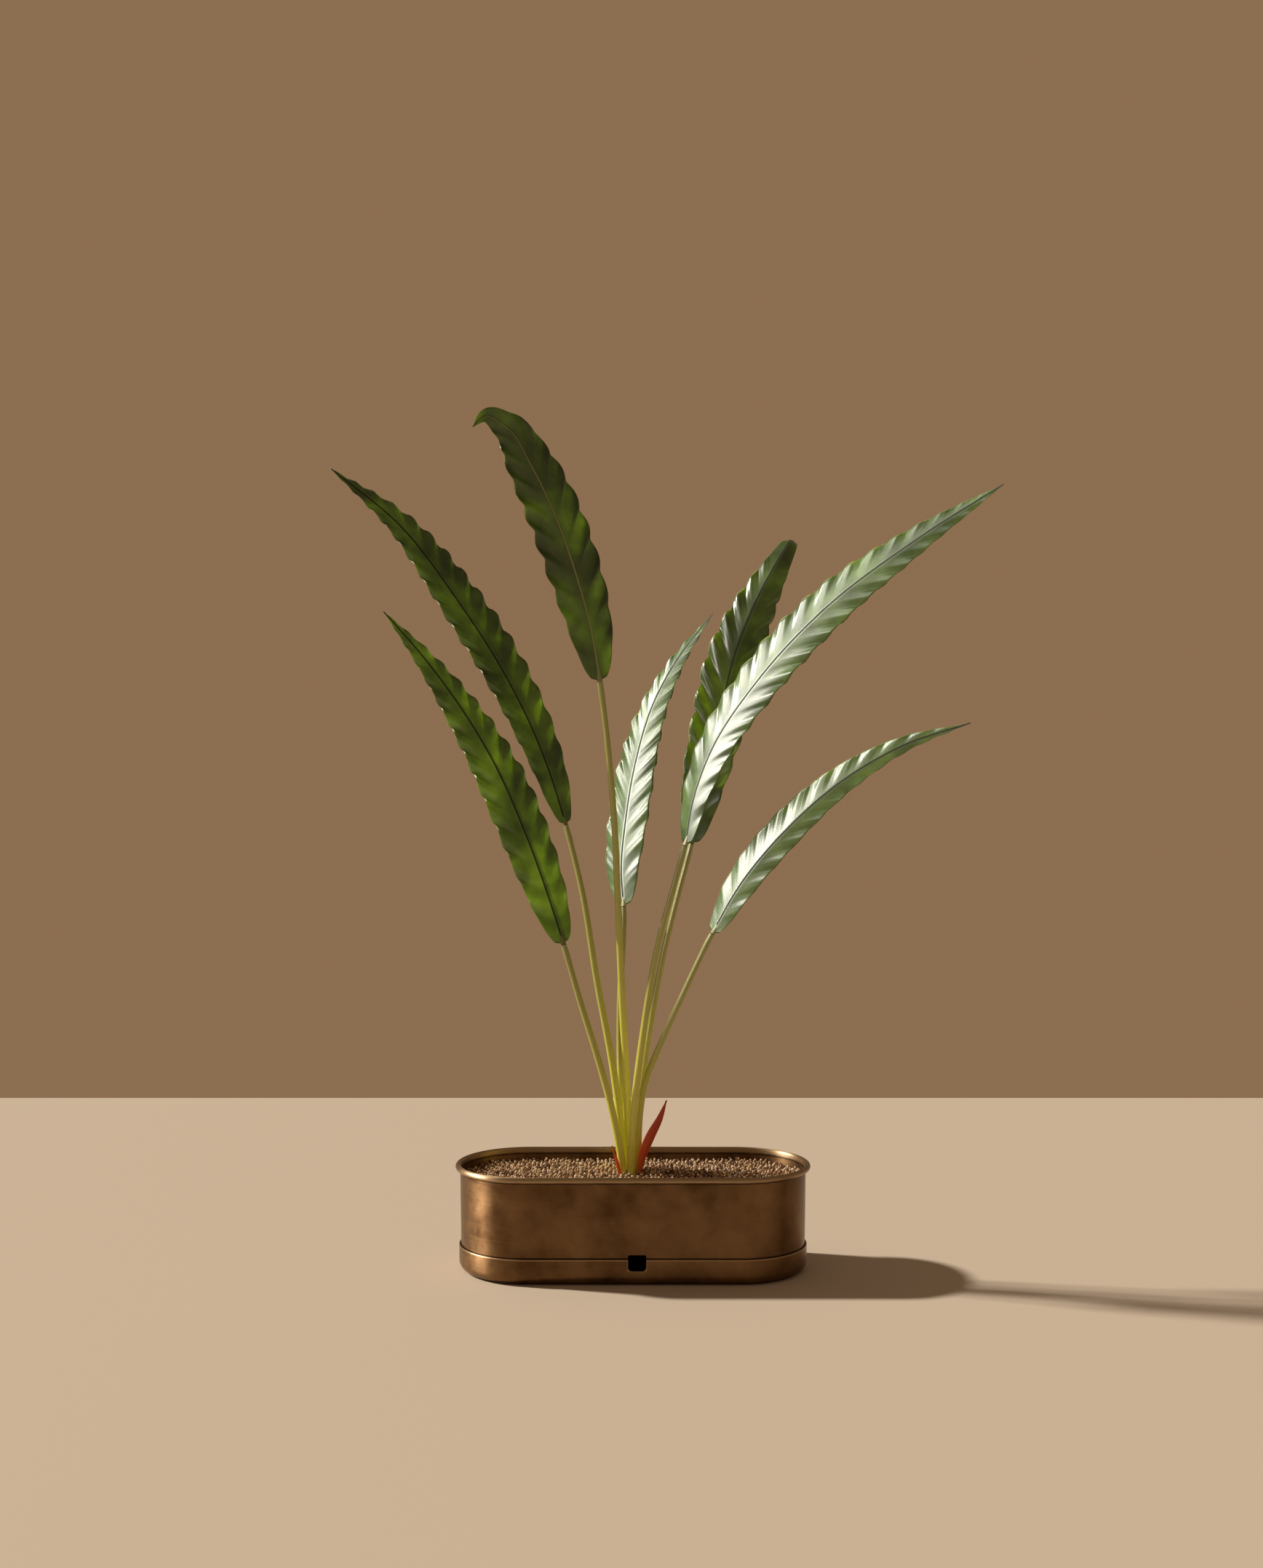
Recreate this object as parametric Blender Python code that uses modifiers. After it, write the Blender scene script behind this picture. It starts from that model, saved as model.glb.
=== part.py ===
"""A potted calathea: seven waved leaves on tall stems, in an oblong brass pot on its tray.

Metres, +Z up. The origin is under the middle of the pot, on the surface that the tray stands on.
X runs along the pot, to the right seen from the front, and Y runs away from the front.
"""

import math

import bmesh
import bpy
import numpy as np
from mathutils import Matrix, Vector, noise

PLANT = "potted_calathea"
CUTTERS = "cutters"
WELD = 0.00001

# Pot: half depths are measured from its middle plane to the wall's outer face.
HALF_STRAIGHT = 0.107
WALL = 0.0012
POT_HALF_DEPTH_TOP = 0.0682
POT_HALF_DEPTH_FOOT = 0.0672
POT_HEIGHT = 0.107
BEAD_RADIUS = 0.003
POT_FLOOR_TOP = 0.0338
POT_CLEARANCE_BELOW = 0.0015
POT_FOOT_RADIUS = 0.0082
DRAIN_RADIUS = 0.006
DRAIN_PLACES = (-0.085, 0.0, 0.085)

# Tray, and the notch that lets water be poured into it.
TRAY_HALF_DEPTH = 0.0693
TRAY_HEIGHT = 0.026
TRAY_FOOT_RADIUS = 0.010
NOTCH_MIDDLE = 0.004
NOTCH_WIDTH = 0.018
NOTCH_FOOT = 0.0147
NOTCH_TOP = 0.0303
NOTCH_CORNER = 0.004
SLOT_CORNER = 0.0015

# Soil
GAP = 0.0004
SOIL_HALF_DEPTH = 0.0656
SOIL_EDGE_TOP = 0.0930
SOIL_MOUND = 0.0022
SOIL_RELIEF = 0.0012
SOIL_RELIEF_SCALE = 85.0
SOIL_RINGS = (0.94, 0.72, 0.48, 0.24)
SOIL_SLICE = 0.0178
ROOT_DEPTH = 0.034

ROUND_STEPS = 32

# Leaves: each follows one line, from the soil up its stem and along the midrib to the tip.
LINE_STEPS = 16
TANGENT_REACH = 0.002
STEM_RADIUS_FOOT = 0.0042
STEM_RADIUS_NECK = 0.0028
STEM_SIDES_RESOLUTION = 2
STEM_POINTS = 13
BLADE_THICKNESS = 0.0017
MARGIN_THICKNESS_SHARE = 0.5
NECK_HALF_WIDTH = 0.0028
TIP_HALF_WIDTH = 0.0007
FOOT_ROUNDNESS = 0.42
ROWS_PER_WAVE = 4
BLADE_COLUMNS = 4

# Waves: they run out from the midrib, leaning towards the tip, and end in a scalloped margin.
WAVE_LENGTH = 0.029
WAVE_SWELL = 0.6
WAVE_CURVE = 2.0
WAVE_STAGGER = 0.4
PLEAT_RUN = 1.4
SCALLOP_SHIFT = 1.2
CALM_RUN = 0.12

# stem: from the soil to the neck; blade: on from there to the tip. face and tip_face point
# out of the upper side of the blade, where it starts and where it ends. The gutter, also for the
# start and the end, lifts both margins towards the upper side where it is over 0, and drops them
# where it is under 0. The fullness is how long a blade keeps its width past its widest place
# before it narrows to the tip. wider_half is how much wider than the middle value the half on
# the +side is, and the other half is narrower. wave_height is how far the waves rise at the
# margin, and scallop the share by which they widen and narrow the blade. They fade out past
# calm_from, where a blade curls over.
LEAVES = {
    "leaf_1": {
        "stem": [(-0.011, -0.004, 0.100), (-0.021, -0.004, 0.159), (-0.037, -0.004, 0.218),
                 (-0.052, -0.004, 0.266), (-0.070, -0.004, 0.328)],
        "blade": [(-0.087, 0.002, 0.380), (-0.111, 0.010, 0.444), (-0.142, 0.018, 0.512),
                  (-0.176, 0.024, 0.568), (-0.214, 0.030, 0.619), (-0.257, 0.036, 0.668)],
        "half_width": 0.0258,
        "widest_at": 0.38,
        "fullness": 1.7,
        "wider_half": 0.0,
        "face": (0.25, -0.90, 0.20),
        "tip_face": (0.25, -0.85, 0.35),
        "gutter_degrees": (-8, -8),
        "phase": 0.3,
        "wave_height": 0.0038,
        "scallop": 0.055,
        "calm_from": 1.0,
    },
    "leaf_2": {
        "stem": [(-0.009, 0.0055, 0.098), (-0.019, 0.009, 0.192), (-0.037, 0.015, 0.290),
                 (-0.053, 0.020, 0.385), (-0.069, 0.025, 0.448)],
        "blade": [(-0.097, 0.040, 0.530), (-0.137, 0.056, 0.610), (-0.182, 0.070, 0.679),
                  (-0.248, 0.088, 0.764), (-0.322, 0.100, 0.825)],
        "half_width": 0.0241,
        "widest_at": 0.48,
        "fullness": 1.75,
        "wider_half": 0.03,
        "face": (0.25, -0.93, 0.20),
        "tip_face": (0.35, -0.88, 0.30),
        "gutter_degrees": (10, 10),
        "phase": 1.9,
        "wave_height": 0.0038,
        "scallop": 0.055,
        "calm_from": 1.0,
    },
    "leaf_3": {
        "stem": [(-0.005, 0.0140, 0.097), (-0.006, 0.0100, 0.172), (-0.011, 0.002, 0.272),
                 (-0.0147, -0.005, 0.361), (-0.020, -0.014, 0.470), (-0.033, -0.025, 0.593)],
        "blade": [(-0.042, -0.035, 0.646), (-0.058, -0.046, 0.704), (-0.078, -0.058, 0.759),
                  (-0.098, -0.067, 0.800), (-0.123, -0.077, 0.838), (-0.142, -0.084, 0.847),
                  (-0.154, -0.091, 0.835)],
        "half_width": 0.0262,
        "widest_at": 0.44,
        "fullness": 3.0,
        "wider_half": 0.0,
        "face": (-0.10, 0.97, 0.20),
        "tip_face": (-0.35, 0.70, 0.60),
        "gutter_degrees": (8, 8),
        "phase": 0.9,
        "wave_height": 0.0034,
        "scallop": 0.085,
        "calm_from": 0.84,
    },
    "leaf_4": {
        "stem": [(-0.006, 0.0225, 0.097), (-0.0125, 0.026, 0.184), (-0.0135, 0.030, 0.258),
                 (-0.0098, 0.036, 0.363)],
        "blade": [(-0.0122, 0.044, 0.402), (-0.0078, 0.055, 0.451), (0.003, 0.070, 0.514),
                  (0.021, 0.084, 0.573), (0.046, 0.096, 0.620), (0.086, 0.110, 0.672)],
        "half_width": 0.0232,
        "widest_at": 0.34,
        "fullness": 1.6,
        "wider_half": 0.0,
        "face": (-0.36, -0.90, 0.28),
        "tip_face": (-0.45, -0.75, 0.50),
        "gutter_degrees": (-12, -12),
        "phase": 2.6,
        "wave_height": 0.0021,
        "scallop": 0.040,
        "calm_from": 1.0,
    },
    "leaf_5": {
        "stem": [(-0.002, -0.0045, 0.097), (0.0015, -0.006, 0.165), (0.011, -0.008, 0.244),
                 (0.024, -0.010, 0.323), (0.042, -0.013, 0.392), (0.052, -0.015, 0.429)],
        "blade": [(0.060, -0.017, 0.474), (0.078, -0.019, 0.524), (0.124, -0.022, 0.594),
                  (0.189, -0.025, 0.664), (0.283, -0.028, 0.735), (0.368, -0.030, 0.789)],
        "half_width": 0.0249,
        "widest_at": 0.46,
        "fullness": 1.75,
        "wider_half": -0.06,
        "face": (-0.60, -0.74, 0.30),
        "tip_face": (-0.12, -0.97, 0.15),
        "gutter_degrees": (-12, -12),
        "phase": 0.0,
        "wave_height": 0.0026,
        "scallop": 0.035,
        "calm_from": 1.0,
    },
    "leaf_6": {
        "stem": [(0.004, 0.0165, 0.097), (0.010, 0.019, 0.190), (0.019, 0.022, 0.250),
                 (0.032, 0.026, 0.319), (0.046, 0.031, 0.375), (0.060, 0.036, 0.428)],
        "blade": [(0.072, 0.044, 0.489), (0.087, 0.053, 0.548), (0.109, 0.068, 0.631),
                  (0.129, 0.081, 0.680), (0.156, 0.098, 0.730), (0.169, 0.112, 0.750),
                  (0.173, 0.130, 0.750), (0.168, 0.150, 0.732)],
        "half_width": 0.0280,
        "widest_at": 0.45,
        "fullness": 1.75,
        "wider_half": 0.0,
        "face": (0.10, -0.95, 0.10),
        "tip_face": (0.20, -0.30, 0.90),
        "gutter_degrees": (14, -30),
        "phase": 1.2,
        "wave_height": 0.0030,
        "scallop": 0.085,
        "calm_from": 0.7,
    },
    "leaf_7": {
        "stem": [(0.0045, 0.0045, 0.099), (0.0125, 0.004, 0.187), (0.0296, 0.002, 0.230),
                 (0.052, 0.000, 0.280), (0.080, -0.003, 0.339)],
        "blade": [(0.110, -0.009, 0.392), (0.154, -0.016, 0.445), (0.205, -0.023, 0.491),
                  (0.270, -0.030, 0.530), (0.335, -0.036, 0.552)],
        "half_width": 0.0186,
        "widest_at": 0.32,
        "fullness": 1.7,
        "wider_half": -0.08,
        "face": (-0.34, -0.86, 0.38),
        "tip_face": (0.22, -0.95, -0.30),
        "gutter_degrees": (-14, -14),
        "phase": 2.2,
        "wave_height": 0.0021,
        "scallop": 0.035,
        "calm_from": 1.0,
    },
}

# Sheaths: short pointed scales that clasp the foot of the stems.
SHEATH_THICKNESS = 0.0010
SHEATH_ROWS = 10
SHEATH_COLUMNS = 4
SHEATH_FOOT_TAPER = 1.3
SHEATHS = {
    "sheath_right": {
        "line": [(0.0048, -0.0015, 0.0860), (0.0098, -0.0025, 0.1120), (0.0186, -0.0040, 0.1344),
                 (0.0270, -0.0048, 0.1510), (0.0339, -0.0050, 0.1705)],
        "half_width": 0.0054,
        "widest_at": 0.48,
        "fullness": 1.9,
        "cup_degrees": 22.0,
        "face": (-0.35, 0.94, 0.0),
    },
    "sheath_left": {
        "line": [(-0.0124, -0.0112, 0.0860), (-0.0155, -0.0112, 0.1050),
                 (-0.0212, -0.0104, 0.1255)],
        "half_width": 0.0023,
        "widest_at": 0.4,
        "fullness": 1.6,
        "cup_degrees": 30.0,
        "face": (0.45, 0.80, 0.0),
    },
}

# Colour, roughness, metallic
FINISHES = {
    "aged_brass": ((0.20, 0.13, 0.07), 0.38, 1.0),
    "soil_grains": ((0.30, 0.22, 0.14), 0.95, 0.0),
    "leaf_green": ((0.07, 0.12, 0.02), 0.40, 0.0),
    "stem_green": ((0.33, 0.36, 0.07), 0.40, 0.0),
    "sheath_red": ((0.35, 0.09, 0.03), 0.50, 0.0),
}


def clear_scene():
    for obj in list(bpy.data.objects):
        bpy.data.objects.remove(obj, do_unlink=True)


def collection(name):
    made = bpy.data.collections.new(name)
    bpy.context.scene.collection.children.link(made)
    return made


def material(name, finish):
    colour, roughness, metallic = FINISHES[finish]
    made = bpy.data.materials.new(name)
    made.use_nodes = True
    shader = made.node_tree.nodes["Principled BSDF"]
    shader.inputs["Base Color"].default_value = (*colour, 1.0)
    shader.inputs["Roughness"].default_value = roughness
    shader.inputs["Metallic"].default_value = metallic
    made.diffuse_color = (*colour, 1.0)
    return made


def new_object(name, data, group, finish=None):
    obj = bpy.data.objects.new(name, data)
    group.objects.link(obj)
    if finish:
        data.materials.append(material(f"{name}_{finish}", finish))
    return obj


def mesh_of(bm, name):
    mesh = bpy.data.meshes.new(name)
    bm.to_mesh(mesh)
    bm.free()
    return mesh


def made_mesh(obj):
    """The mesh that the object shows, with its ends welded; the object itself is removed."""
    bpy.context.view_layer.update()
    graph = bpy.context.evaluated_depsgraph_get()
    mesh = bpy.data.meshes.new_from_object(obj.evaluated_get(graph))
    name = obj.name
    bpy.data.objects.remove(obj, do_unlink=True)
    mesh.name = name
    bm = bmesh.new()
    bm.from_mesh(mesh)
    bmesh.ops.remove_doubles(bm, verts=bm.verts, dist=WELD)
    bmesh.ops.recalc_face_normals(bm, faces=bm.faces)
    bm.to_mesh(mesh)
    bm.free()
    return mesh


def shade(obj, degrees=40):
    obj.data.shade_smooth()
    obj.data.set_sharp_from_angle(angle=math.radians(degrees))


def helper(obj):
    obj.hide_render = True
    obj.display_type = "WIRE"
    return obj


def cut(obj, cutter):
    boolean = obj.modifiers.new(cutter.name, "BOOLEAN")
    boolean.operation = "DIFFERENCE"
    boolean.solver = "EXACT"
    boolean.object = helper(cutter)


def arc(middle, radius, start, end, steps):
    """Points (distance out, height) round part of a circle, its ends in degrees."""
    angles = np.radians(np.linspace(start, end, steps + 1))
    return [(middle[0] + radius * math.cos(a), middle[1] + radius * math.sin(a)) for a in angles]


def turned_oblong(name, profile, group):
    """A profile turned round Z, its two halves then moved apart along X, and its ends closed."""
    half_step = math.pi / ROUND_STEPS
    points = [(r * math.cos(half_step), r * math.sin(half_step), z) for r, z in profile]
    outline = bpy.data.meshes.new(name)
    outline.from_pydata(points, [(i, i + 1) for i in range(len(points) - 1)], [])
    turned = new_object(name, outline, group)
    screw = turned.modifiers.new("Turn", "SCREW")
    screw.steps = screw.render_steps = ROUND_STEPS
    screw.use_merge_vertices = True
    screw.merge_threshold = WELD
    mesh = made_mesh(turned)
    bm = bmesh.new()
    bm.from_mesh(mesh)
    for vert in bm.verts:
        vert.co.x += math.copysign(HALF_STRAIGHT, vert.co.x)
    bmesh.ops.holes_fill(bm, edges=[edge for edge in bm.edges if edge.is_boundary])
    bmesh.ops.recalc_face_normals(bm, faces=bm.faces)
    bm.to_mesh(mesh)
    bm.free()
    return mesh


def rounded_cutter(name, low, high, corner, group):
    """A box from low to high, with its four edges along Y rounded."""
    low, high = Vector(low), Vector(high)
    bm = bmesh.new()
    bmesh.ops.create_cube(bm, size=1.0)
    bmesh.ops.scale(bm, vec=high - low, verts=bm.verts)
    bmesh.ops.translate(bm, vec=(low + high) / 2, verts=bm.verts)
    along_y = [e for e in bm.edges if abs(e.verts[0].co.y - e.verts[1].co.y) > WALL]
    bmesh.ops.bevel(bm, geom=along_y, offset=corner, segments=4, profile=0.5, affect="EDGES")
    return new_object(name, mesh_of(bm, name), group)


def pot(group, cutters):
    """The pot: one wall from its rolled rim to its turned-in foot, and a raised floor."""
    top, foot = POT_HALF_DEPTH_TOP, POT_HALF_DEPTH_FOOT
    bead_height = POT_HEIGHT - BEAD_RADIUS
    bead_middle = (top - WALL + BEAD_RADIUS, bead_height)
    wall_meets_bead = -180 + math.degrees(math.acos((BEAD_RADIUS - WALL) / BEAD_RADIUS))
    turn_in = (foot - POT_FOOT_RADIUS, POT_CLEARANCE_BELOW + POT_FOOT_RADIUS)
    floor_under = POT_FLOOR_TOP - WALL

    def inner_at(height):
        share = (height - turn_in[1]) / (bead_height - turn_in[1])
        return foot + share * (top - foot) - WALL

    profile = [(inner_at(POT_FLOOR_TOP), POT_FLOOR_TOP)]
    profile += arc(bead_middle, BEAD_RADIUS, 180, wall_meets_bead, 9)
    profile += arc(turn_in, POT_FOOT_RADIUS, 0, -90, 4)
    profile += arc(turn_in, POT_FOOT_RADIUS - WALL, -90, 0, 4)
    profile += [(inner_at(floor_under), floor_under)]
    obj = new_object("pot", turned_oblong("pot", profile, group), group, "aged_brass")
    front = -POT_HALF_DEPTH_TOP
    slot = rounded_cutter(
        "pot_slot",
        (NOTCH_MIDDLE - NOTCH_WIDTH / 2, front - 2 * WALL, NOTCH_FOOT - 2 * SLOT_CORNER),
        (NOTCH_MIDDLE + NOTCH_WIDTH / 2, front + 5 * WALL, NOTCH_TOP),
        SLOT_CORNER,
        cutters,
    )
    cut(obj, slot)
    for number, place in enumerate(DRAIN_PLACES, 1):
        bm = bmesh.new()
        bmesh.ops.create_cone(
            bm, cap_ends=True, segments=12, radius1=DRAIN_RADIUS, radius2=DRAIN_RADIUS,
            depth=6 * WALL, matrix=Matrix.Translation((place, 0, POT_FLOOR_TOP - WALL / 2)),
        )
        cut(obj, new_object(f"drain_{number}", mesh_of(bm, f"drain_{number}"), cutters))
    shade(obj)


def tray(group, cutters):
    """The tray: a close shell with a rounded foot, notched at the front."""
    outer, radius = TRAY_HALF_DEPTH, TRAY_FOOT_RADIUS
    turn = (outer - radius, radius)
    lip = (outer - WALL / 2, TRAY_HEIGHT - WALL / 2)
    profile = arc(turn, radius - WALL, -90, 0, 4)
    profile += arc(lip, WALL / 2, 180, 0, 4)
    profile += arc(turn, radius, 0, -90, 5)
    obj = new_object("tray", turned_oblong("tray", profile, group), group, "aged_brass")
    notch = rounded_cutter(
        "tray_notch",
        (NOTCH_MIDDLE - NOTCH_WIDTH / 2, -outer - 2 * WALL, NOTCH_FOOT),
        (NOTCH_MIDDLE + NOTCH_WIDTH / 2, -outer + 4 * WALL, TRAY_HEIGHT + 3 * NOTCH_CORNER),
        NOTCH_CORNER,
        cutters,
    )
    cut(obj, notch)
    shade(obj)


def smooth_line(points):
    """A line through the points, cubic between each two, as an array of close points."""
    points = np.array(points)
    spans = np.linalg.norm(np.diff(points, axis=0), axis=1)[:, None]
    slopes = np.diff(points, axis=0) / spans
    inner = (slopes[:-1] * spans[1:] + slopes[1:] * spans[:-1]) / (spans[:-1] + spans[1:])
    tangents = np.vstack([slopes[:1], inner, slopes[-1:]])
    line = [points[:1]]
    for i, span in enumerate(spans[:, 0]):
        t = np.linspace(0, 1, LINE_STEPS + 1)[1:, None]
        line.append(
            (2 * t**3 - 3 * t**2 + 1) * points[i]
            + (t**3 - 2 * t**2 + t) * span * tangents[i]
            + (3 * t**2 - 2 * t**3) * points[i + 1]
            + (t**3 - t**2) * span * tangents[i + 1]
        )
    return np.vstack(line)


class Line:
    """A smooth line, read by distance along it."""

    def __init__(self, points):
        self.points = smooth_line(points)
        steps = np.linalg.norm(np.diff(self.points, axis=0), axis=1)
        self.distances = np.concatenate([[0.0], np.cumsum(steps)])
        self.length = self.distances[-1]

    def at(self, distance):
        return Vector([np.interp(distance, self.distances, self.points[:, i]) for i in range(3)])

    def distance_of(self, point):
        return self.distances[np.argmin(np.linalg.norm(self.points - np.array(point), axis=1))]

    def frame(self, distance, face):
        """(point, direction to the side, direction out of the face) at a distance."""
        ahead = self.at(min(distance + TANGENT_REACH, self.length))
        behind = self.at(max(distance - TANGENT_REACH, 0.0))
        tangent = (ahead - behind).normalized()
        normal = (face - tangent * face.dot(tangent)).normalized()
        return self.at(distance), tangent.cross(normal), normal


def leaf_line(leaf):
    foot = Vector(leaf["stem"][0])
    root = foot - Vector((0, 0, foot.z - SOIL_EDGE_TOP + ROOT_DEPTH))
    return Line([root[:], *leaf["stem"], *leaf["blade"]])


def stem_mesh(name, line, neck, extra, group):
    """A tapered round stem from the root to the neck, with extra added all round for a cutter."""
    curve = bpy.data.curves.new(name, "CURVE")
    curve.dimensions = "3D"
    curve.bevel_depth = 1.0
    curve.bevel_resolution = STEM_SIDES_RESOLUTION
    curve.use_fill_caps = True
    spline = curve.splines.new("POLY")
    spline.points.add(STEM_POINTS - 1)
    for i, point in enumerate(spline.points):
        share = i / (STEM_POINTS - 1)
        place = line.at(share * neck)
        if i == 0:
            place.z -= extra
        point.co = (*place, 1.0)
        point.radius = STEM_RADIUS_FOOT + (STEM_RADIUS_NECK - STEM_RADIUS_FOOT) * share + extra
    return made_mesh(new_object(name, curve, group))


def width_share(shape, t, foot_power):
    """Half width at t of the length, as a share of the widest: a foot and a narrowing tip.

    A foot power under 0.5 makes a full, round foot, and one over 1 makes a pointed one.
    """
    widest_at = shape["widest_at"]
    if t < widest_at:
        return (1 - (1 - t / widest_at) ** 2) ** foot_power
    return 1 - ((t - widest_at) / (1 - widest_at)) ** shape["fullness"]


def blade_point(leaf, line, start, row, side):
    """A point of the blade: row runs 0 to 1 along the midrib, side -1 to 1 across it.

    A row leans towards the tip as it leaves the midrib, as the pleats do, and each row is at one
    height of the wave, which grows towards the margin.
    """
    length = line.length - start

    def half_width(t):
        narrowest = NECK_HALF_WIDTH + (TIP_HALF_WIDTH - NECK_HALF_WIDTH) * t
        share = width_share(leaf, min(max(t, 0.0), 1.0), FOOT_ROUNDNESS)
        return max(leaf["half_width"] * share, narrowest)

    lean = PLEAT_RUN * half_width(row) * abs(side) * math.sin(math.pi * min(4 * (1 - row), 0.5))
    t = min(row + lean / length, 1.0)
    face = Vector(leaf["face"]).lerp(Vector(leaf["tip_face"]), t)
    point, across, out = line.frame(start + t * length, face)
    turns = row * length / WAVE_LENGTH
    angle = 2 * math.pi * turns + leaf["phase"] + math.copysign(WAVE_STAGGER, side)
    calm = min(max((t - leaf["calm_from"]) / CALM_RUN, 0.0), 1.0)
    swell = math.sin(math.pi * t) * (1 - calm)
    scallop = 1 + leaf["scallop"] * math.sin(angle + SCALLOP_SHIFT) * swell
    share = 1 + leaf["wider_half"] * math.copysign(1, side)
    reach = half_width(t) * share * abs(side) * scallop
    gutter_start, gutter_end = leaf["gutter_degrees"]
    gutter = math.radians(gutter_start + (gutter_end - gutter_start) * t)
    height = leaf["wave_height"] * max(swell, 0.0) ** WAVE_SWELL * abs(side) ** WAVE_CURVE
    lift = reach * math.sin(gutter) + height * math.sin(angle)
    return point + across * math.copysign(reach * math.cos(gutter), side) + out * lift


def waved_sheet(name, rows, columns, place, rib_share, thickness, group, finish):
    """A grid placed by a formula and split into triangles, given an even wall and a thicker rib."""
    bm = bmesh.new()
    bmesh.ops.create_grid(bm, x_segments=rows, y_segments=columns, size=1.0)
    sides = {vert.index: vert.co.y for vert in bm.verts}
    for vert in bm.verts:
        vert.co = place((vert.co.x + 1) / 2, vert.co.y)
    bmesh.ops.triangulate(bm, faces=bm.faces)
    obj = new_object(name, mesh_of(bm, name), group, finish)
    rib = obj.vertex_groups.new(name="rib")
    for index, side in sides.items():
        rib.add([index], max(0.0, 1.0 - 2 * abs(side)), "REPLACE")
    wall = obj.modifiers.new("Wall", "SOLIDIFY")
    wall.thickness = thickness
    wall.offset = 0.0
    wall.vertex_group = "rib"
    wall.thickness_vertex_group = rib_share
    return obj


def leaf_pieces(name, leaf, soil, group, cutters):
    line = leaf_line(leaf)
    neck = line.distance_of(leaf["stem"][-1])
    mesh = stem_mesh(f"{name}_stem", line, neck, 0.0, group)
    shade(new_object(f"{name}_stem", mesh, group, "stem_green"))
    hole = f"{name}_hole"
    cut(soil, new_object(hole, stem_mesh(hole, line, neck, GAP, cutters), cutters))
    start = neck + GAP
    rows = math.ceil((line.length - start) / WAVE_LENGTH * ROWS_PER_WAVE)
    blade = waved_sheet(
        f"{name}_blade", rows, BLADE_COLUMNS,
        lambda row, side: blade_point(leaf, line, start, row, side),
        MARGIN_THICKNESS_SHARE, BLADE_THICKNESS, group, "leaf_green",
    )
    shade(blade, 60)


def sheath_point(sheath, line, row, side, extra):
    point, across, out = line.frame(row * line.length, Vector(sheath["face"]))
    half_width = sheath["half_width"] * width_share(sheath, row, SHEATH_FOOT_TAPER)
    reach = abs(side) * (max(half_width, TIP_HALF_WIDTH) + extra)
    cup = math.radians(sheath["cup_degrees"]) * abs(side)
    return (
        point
        + across * math.copysign(reach * math.cos(cup), side)
        + out * reach * math.sin(cup)
    )


def sheath_piece(name, sheath, soil, group, cutters):
    line = Line(sheath["line"])

    def sheet(made_name, extra, where, finish):
        return waved_sheet(
            made_name, SHEATH_ROWS, SHEATH_COLUMNS,
            lambda row, side: sheath_point(sheath, line, row, side, extra),
            1.0, SHEATH_THICKNESS + 2 * extra, where, finish,
        )

    shade(sheet(name, 0.0, group, "sheath_red"), 60)
    hole = sheet(f"{name}_hole", GAP, cutters, None)
    for vert in hole.data.vertices:
        if vert.co.z < sheath["line"][0][2] + 2 * SHEATH_THICKNESS:
            vert.co.z -= GAP
    cut(soil, hole)


def soil_piece(group):
    """The soil: it fills the pot above the floor, with a slightly mounded, uneven top."""
    foot = POT_FLOOR_TOP + GAP
    profile = [(SOIL_RINGS[-1] * SOIL_HALF_DEPTH, SOIL_EDGE_TOP)]
    profile += [(share * SOIL_HALF_DEPTH, SOIL_EDGE_TOP) for share in reversed(SOIL_RINGS[:-1])]
    profile += [(SOIL_HALF_DEPTH, SOIL_EDGE_TOP), (SOIL_HALF_DEPTH, foot)]
    mesh = turned_oblong("soil", profile, group)
    bm = bmesh.new()
    bm.from_mesh(mesh)
    for slice_x in np.arange(-HALF_STRAIGHT, HALF_STRAIGHT + SOIL_SLICE / 2, SOIL_SLICE):
        bmesh.ops.bisect_plane(
            bm, geom=[*bm.verts, *bm.edges, *bm.faces], plane_co=(slice_x, 0, 0), plane_no=(1, 0, 0)
        )
    half_length = HALF_STRAIGHT + SOIL_HALF_DEPTH
    for vert in bm.verts:
        if vert.co.z < SOIL_EDGE_TOP - WALL:
            continue
        out = min(1.0, math.hypot(vert.co.x / half_length, vert.co.y / SOIL_HALF_DEPTH))
        uneven = noise.noise(vert.co * SOIL_RELIEF_SCALE)
        vert.co.z += SOIL_MOUND * (1 - out**2) + SOIL_RELIEF * uneven
    bmesh.ops.triangulate(bm, faces=bm.faces)
    bm.to_mesh(mesh)
    bm.free()
    return new_object("soil", mesh, group, "soil_grains")


def main():
    clear_scene()
    group, cutters = collection(PLANT), collection(CUTTERS)
    pot(group, cutters)
    tray(group, cutters)
    soil = soil_piece(group)
    for name, leaf in LEAVES.items():
        leaf_pieces(name, leaf, soil, group, cutters)
    for name, sheath in SHEATHS.items():
        sheath_piece(name, sheath, soil, group, cutters)


main()
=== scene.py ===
# %% [markdown]
# # A potted calathea
# This script dresses a plant that is already modelled as plain solids. Seven waved leaves stand on
# tall stems in loose granules, in an oblong brass pot that sits in its own tray. The solids are
# loaded first and never changed. Every finer piece made here stands where its solid stands.

# %% Load the solids
import math
from contextlib import contextmanager

import bmesh
import bpy
import numpy as np
from mathutils import Matrix, Vector, noise


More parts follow.
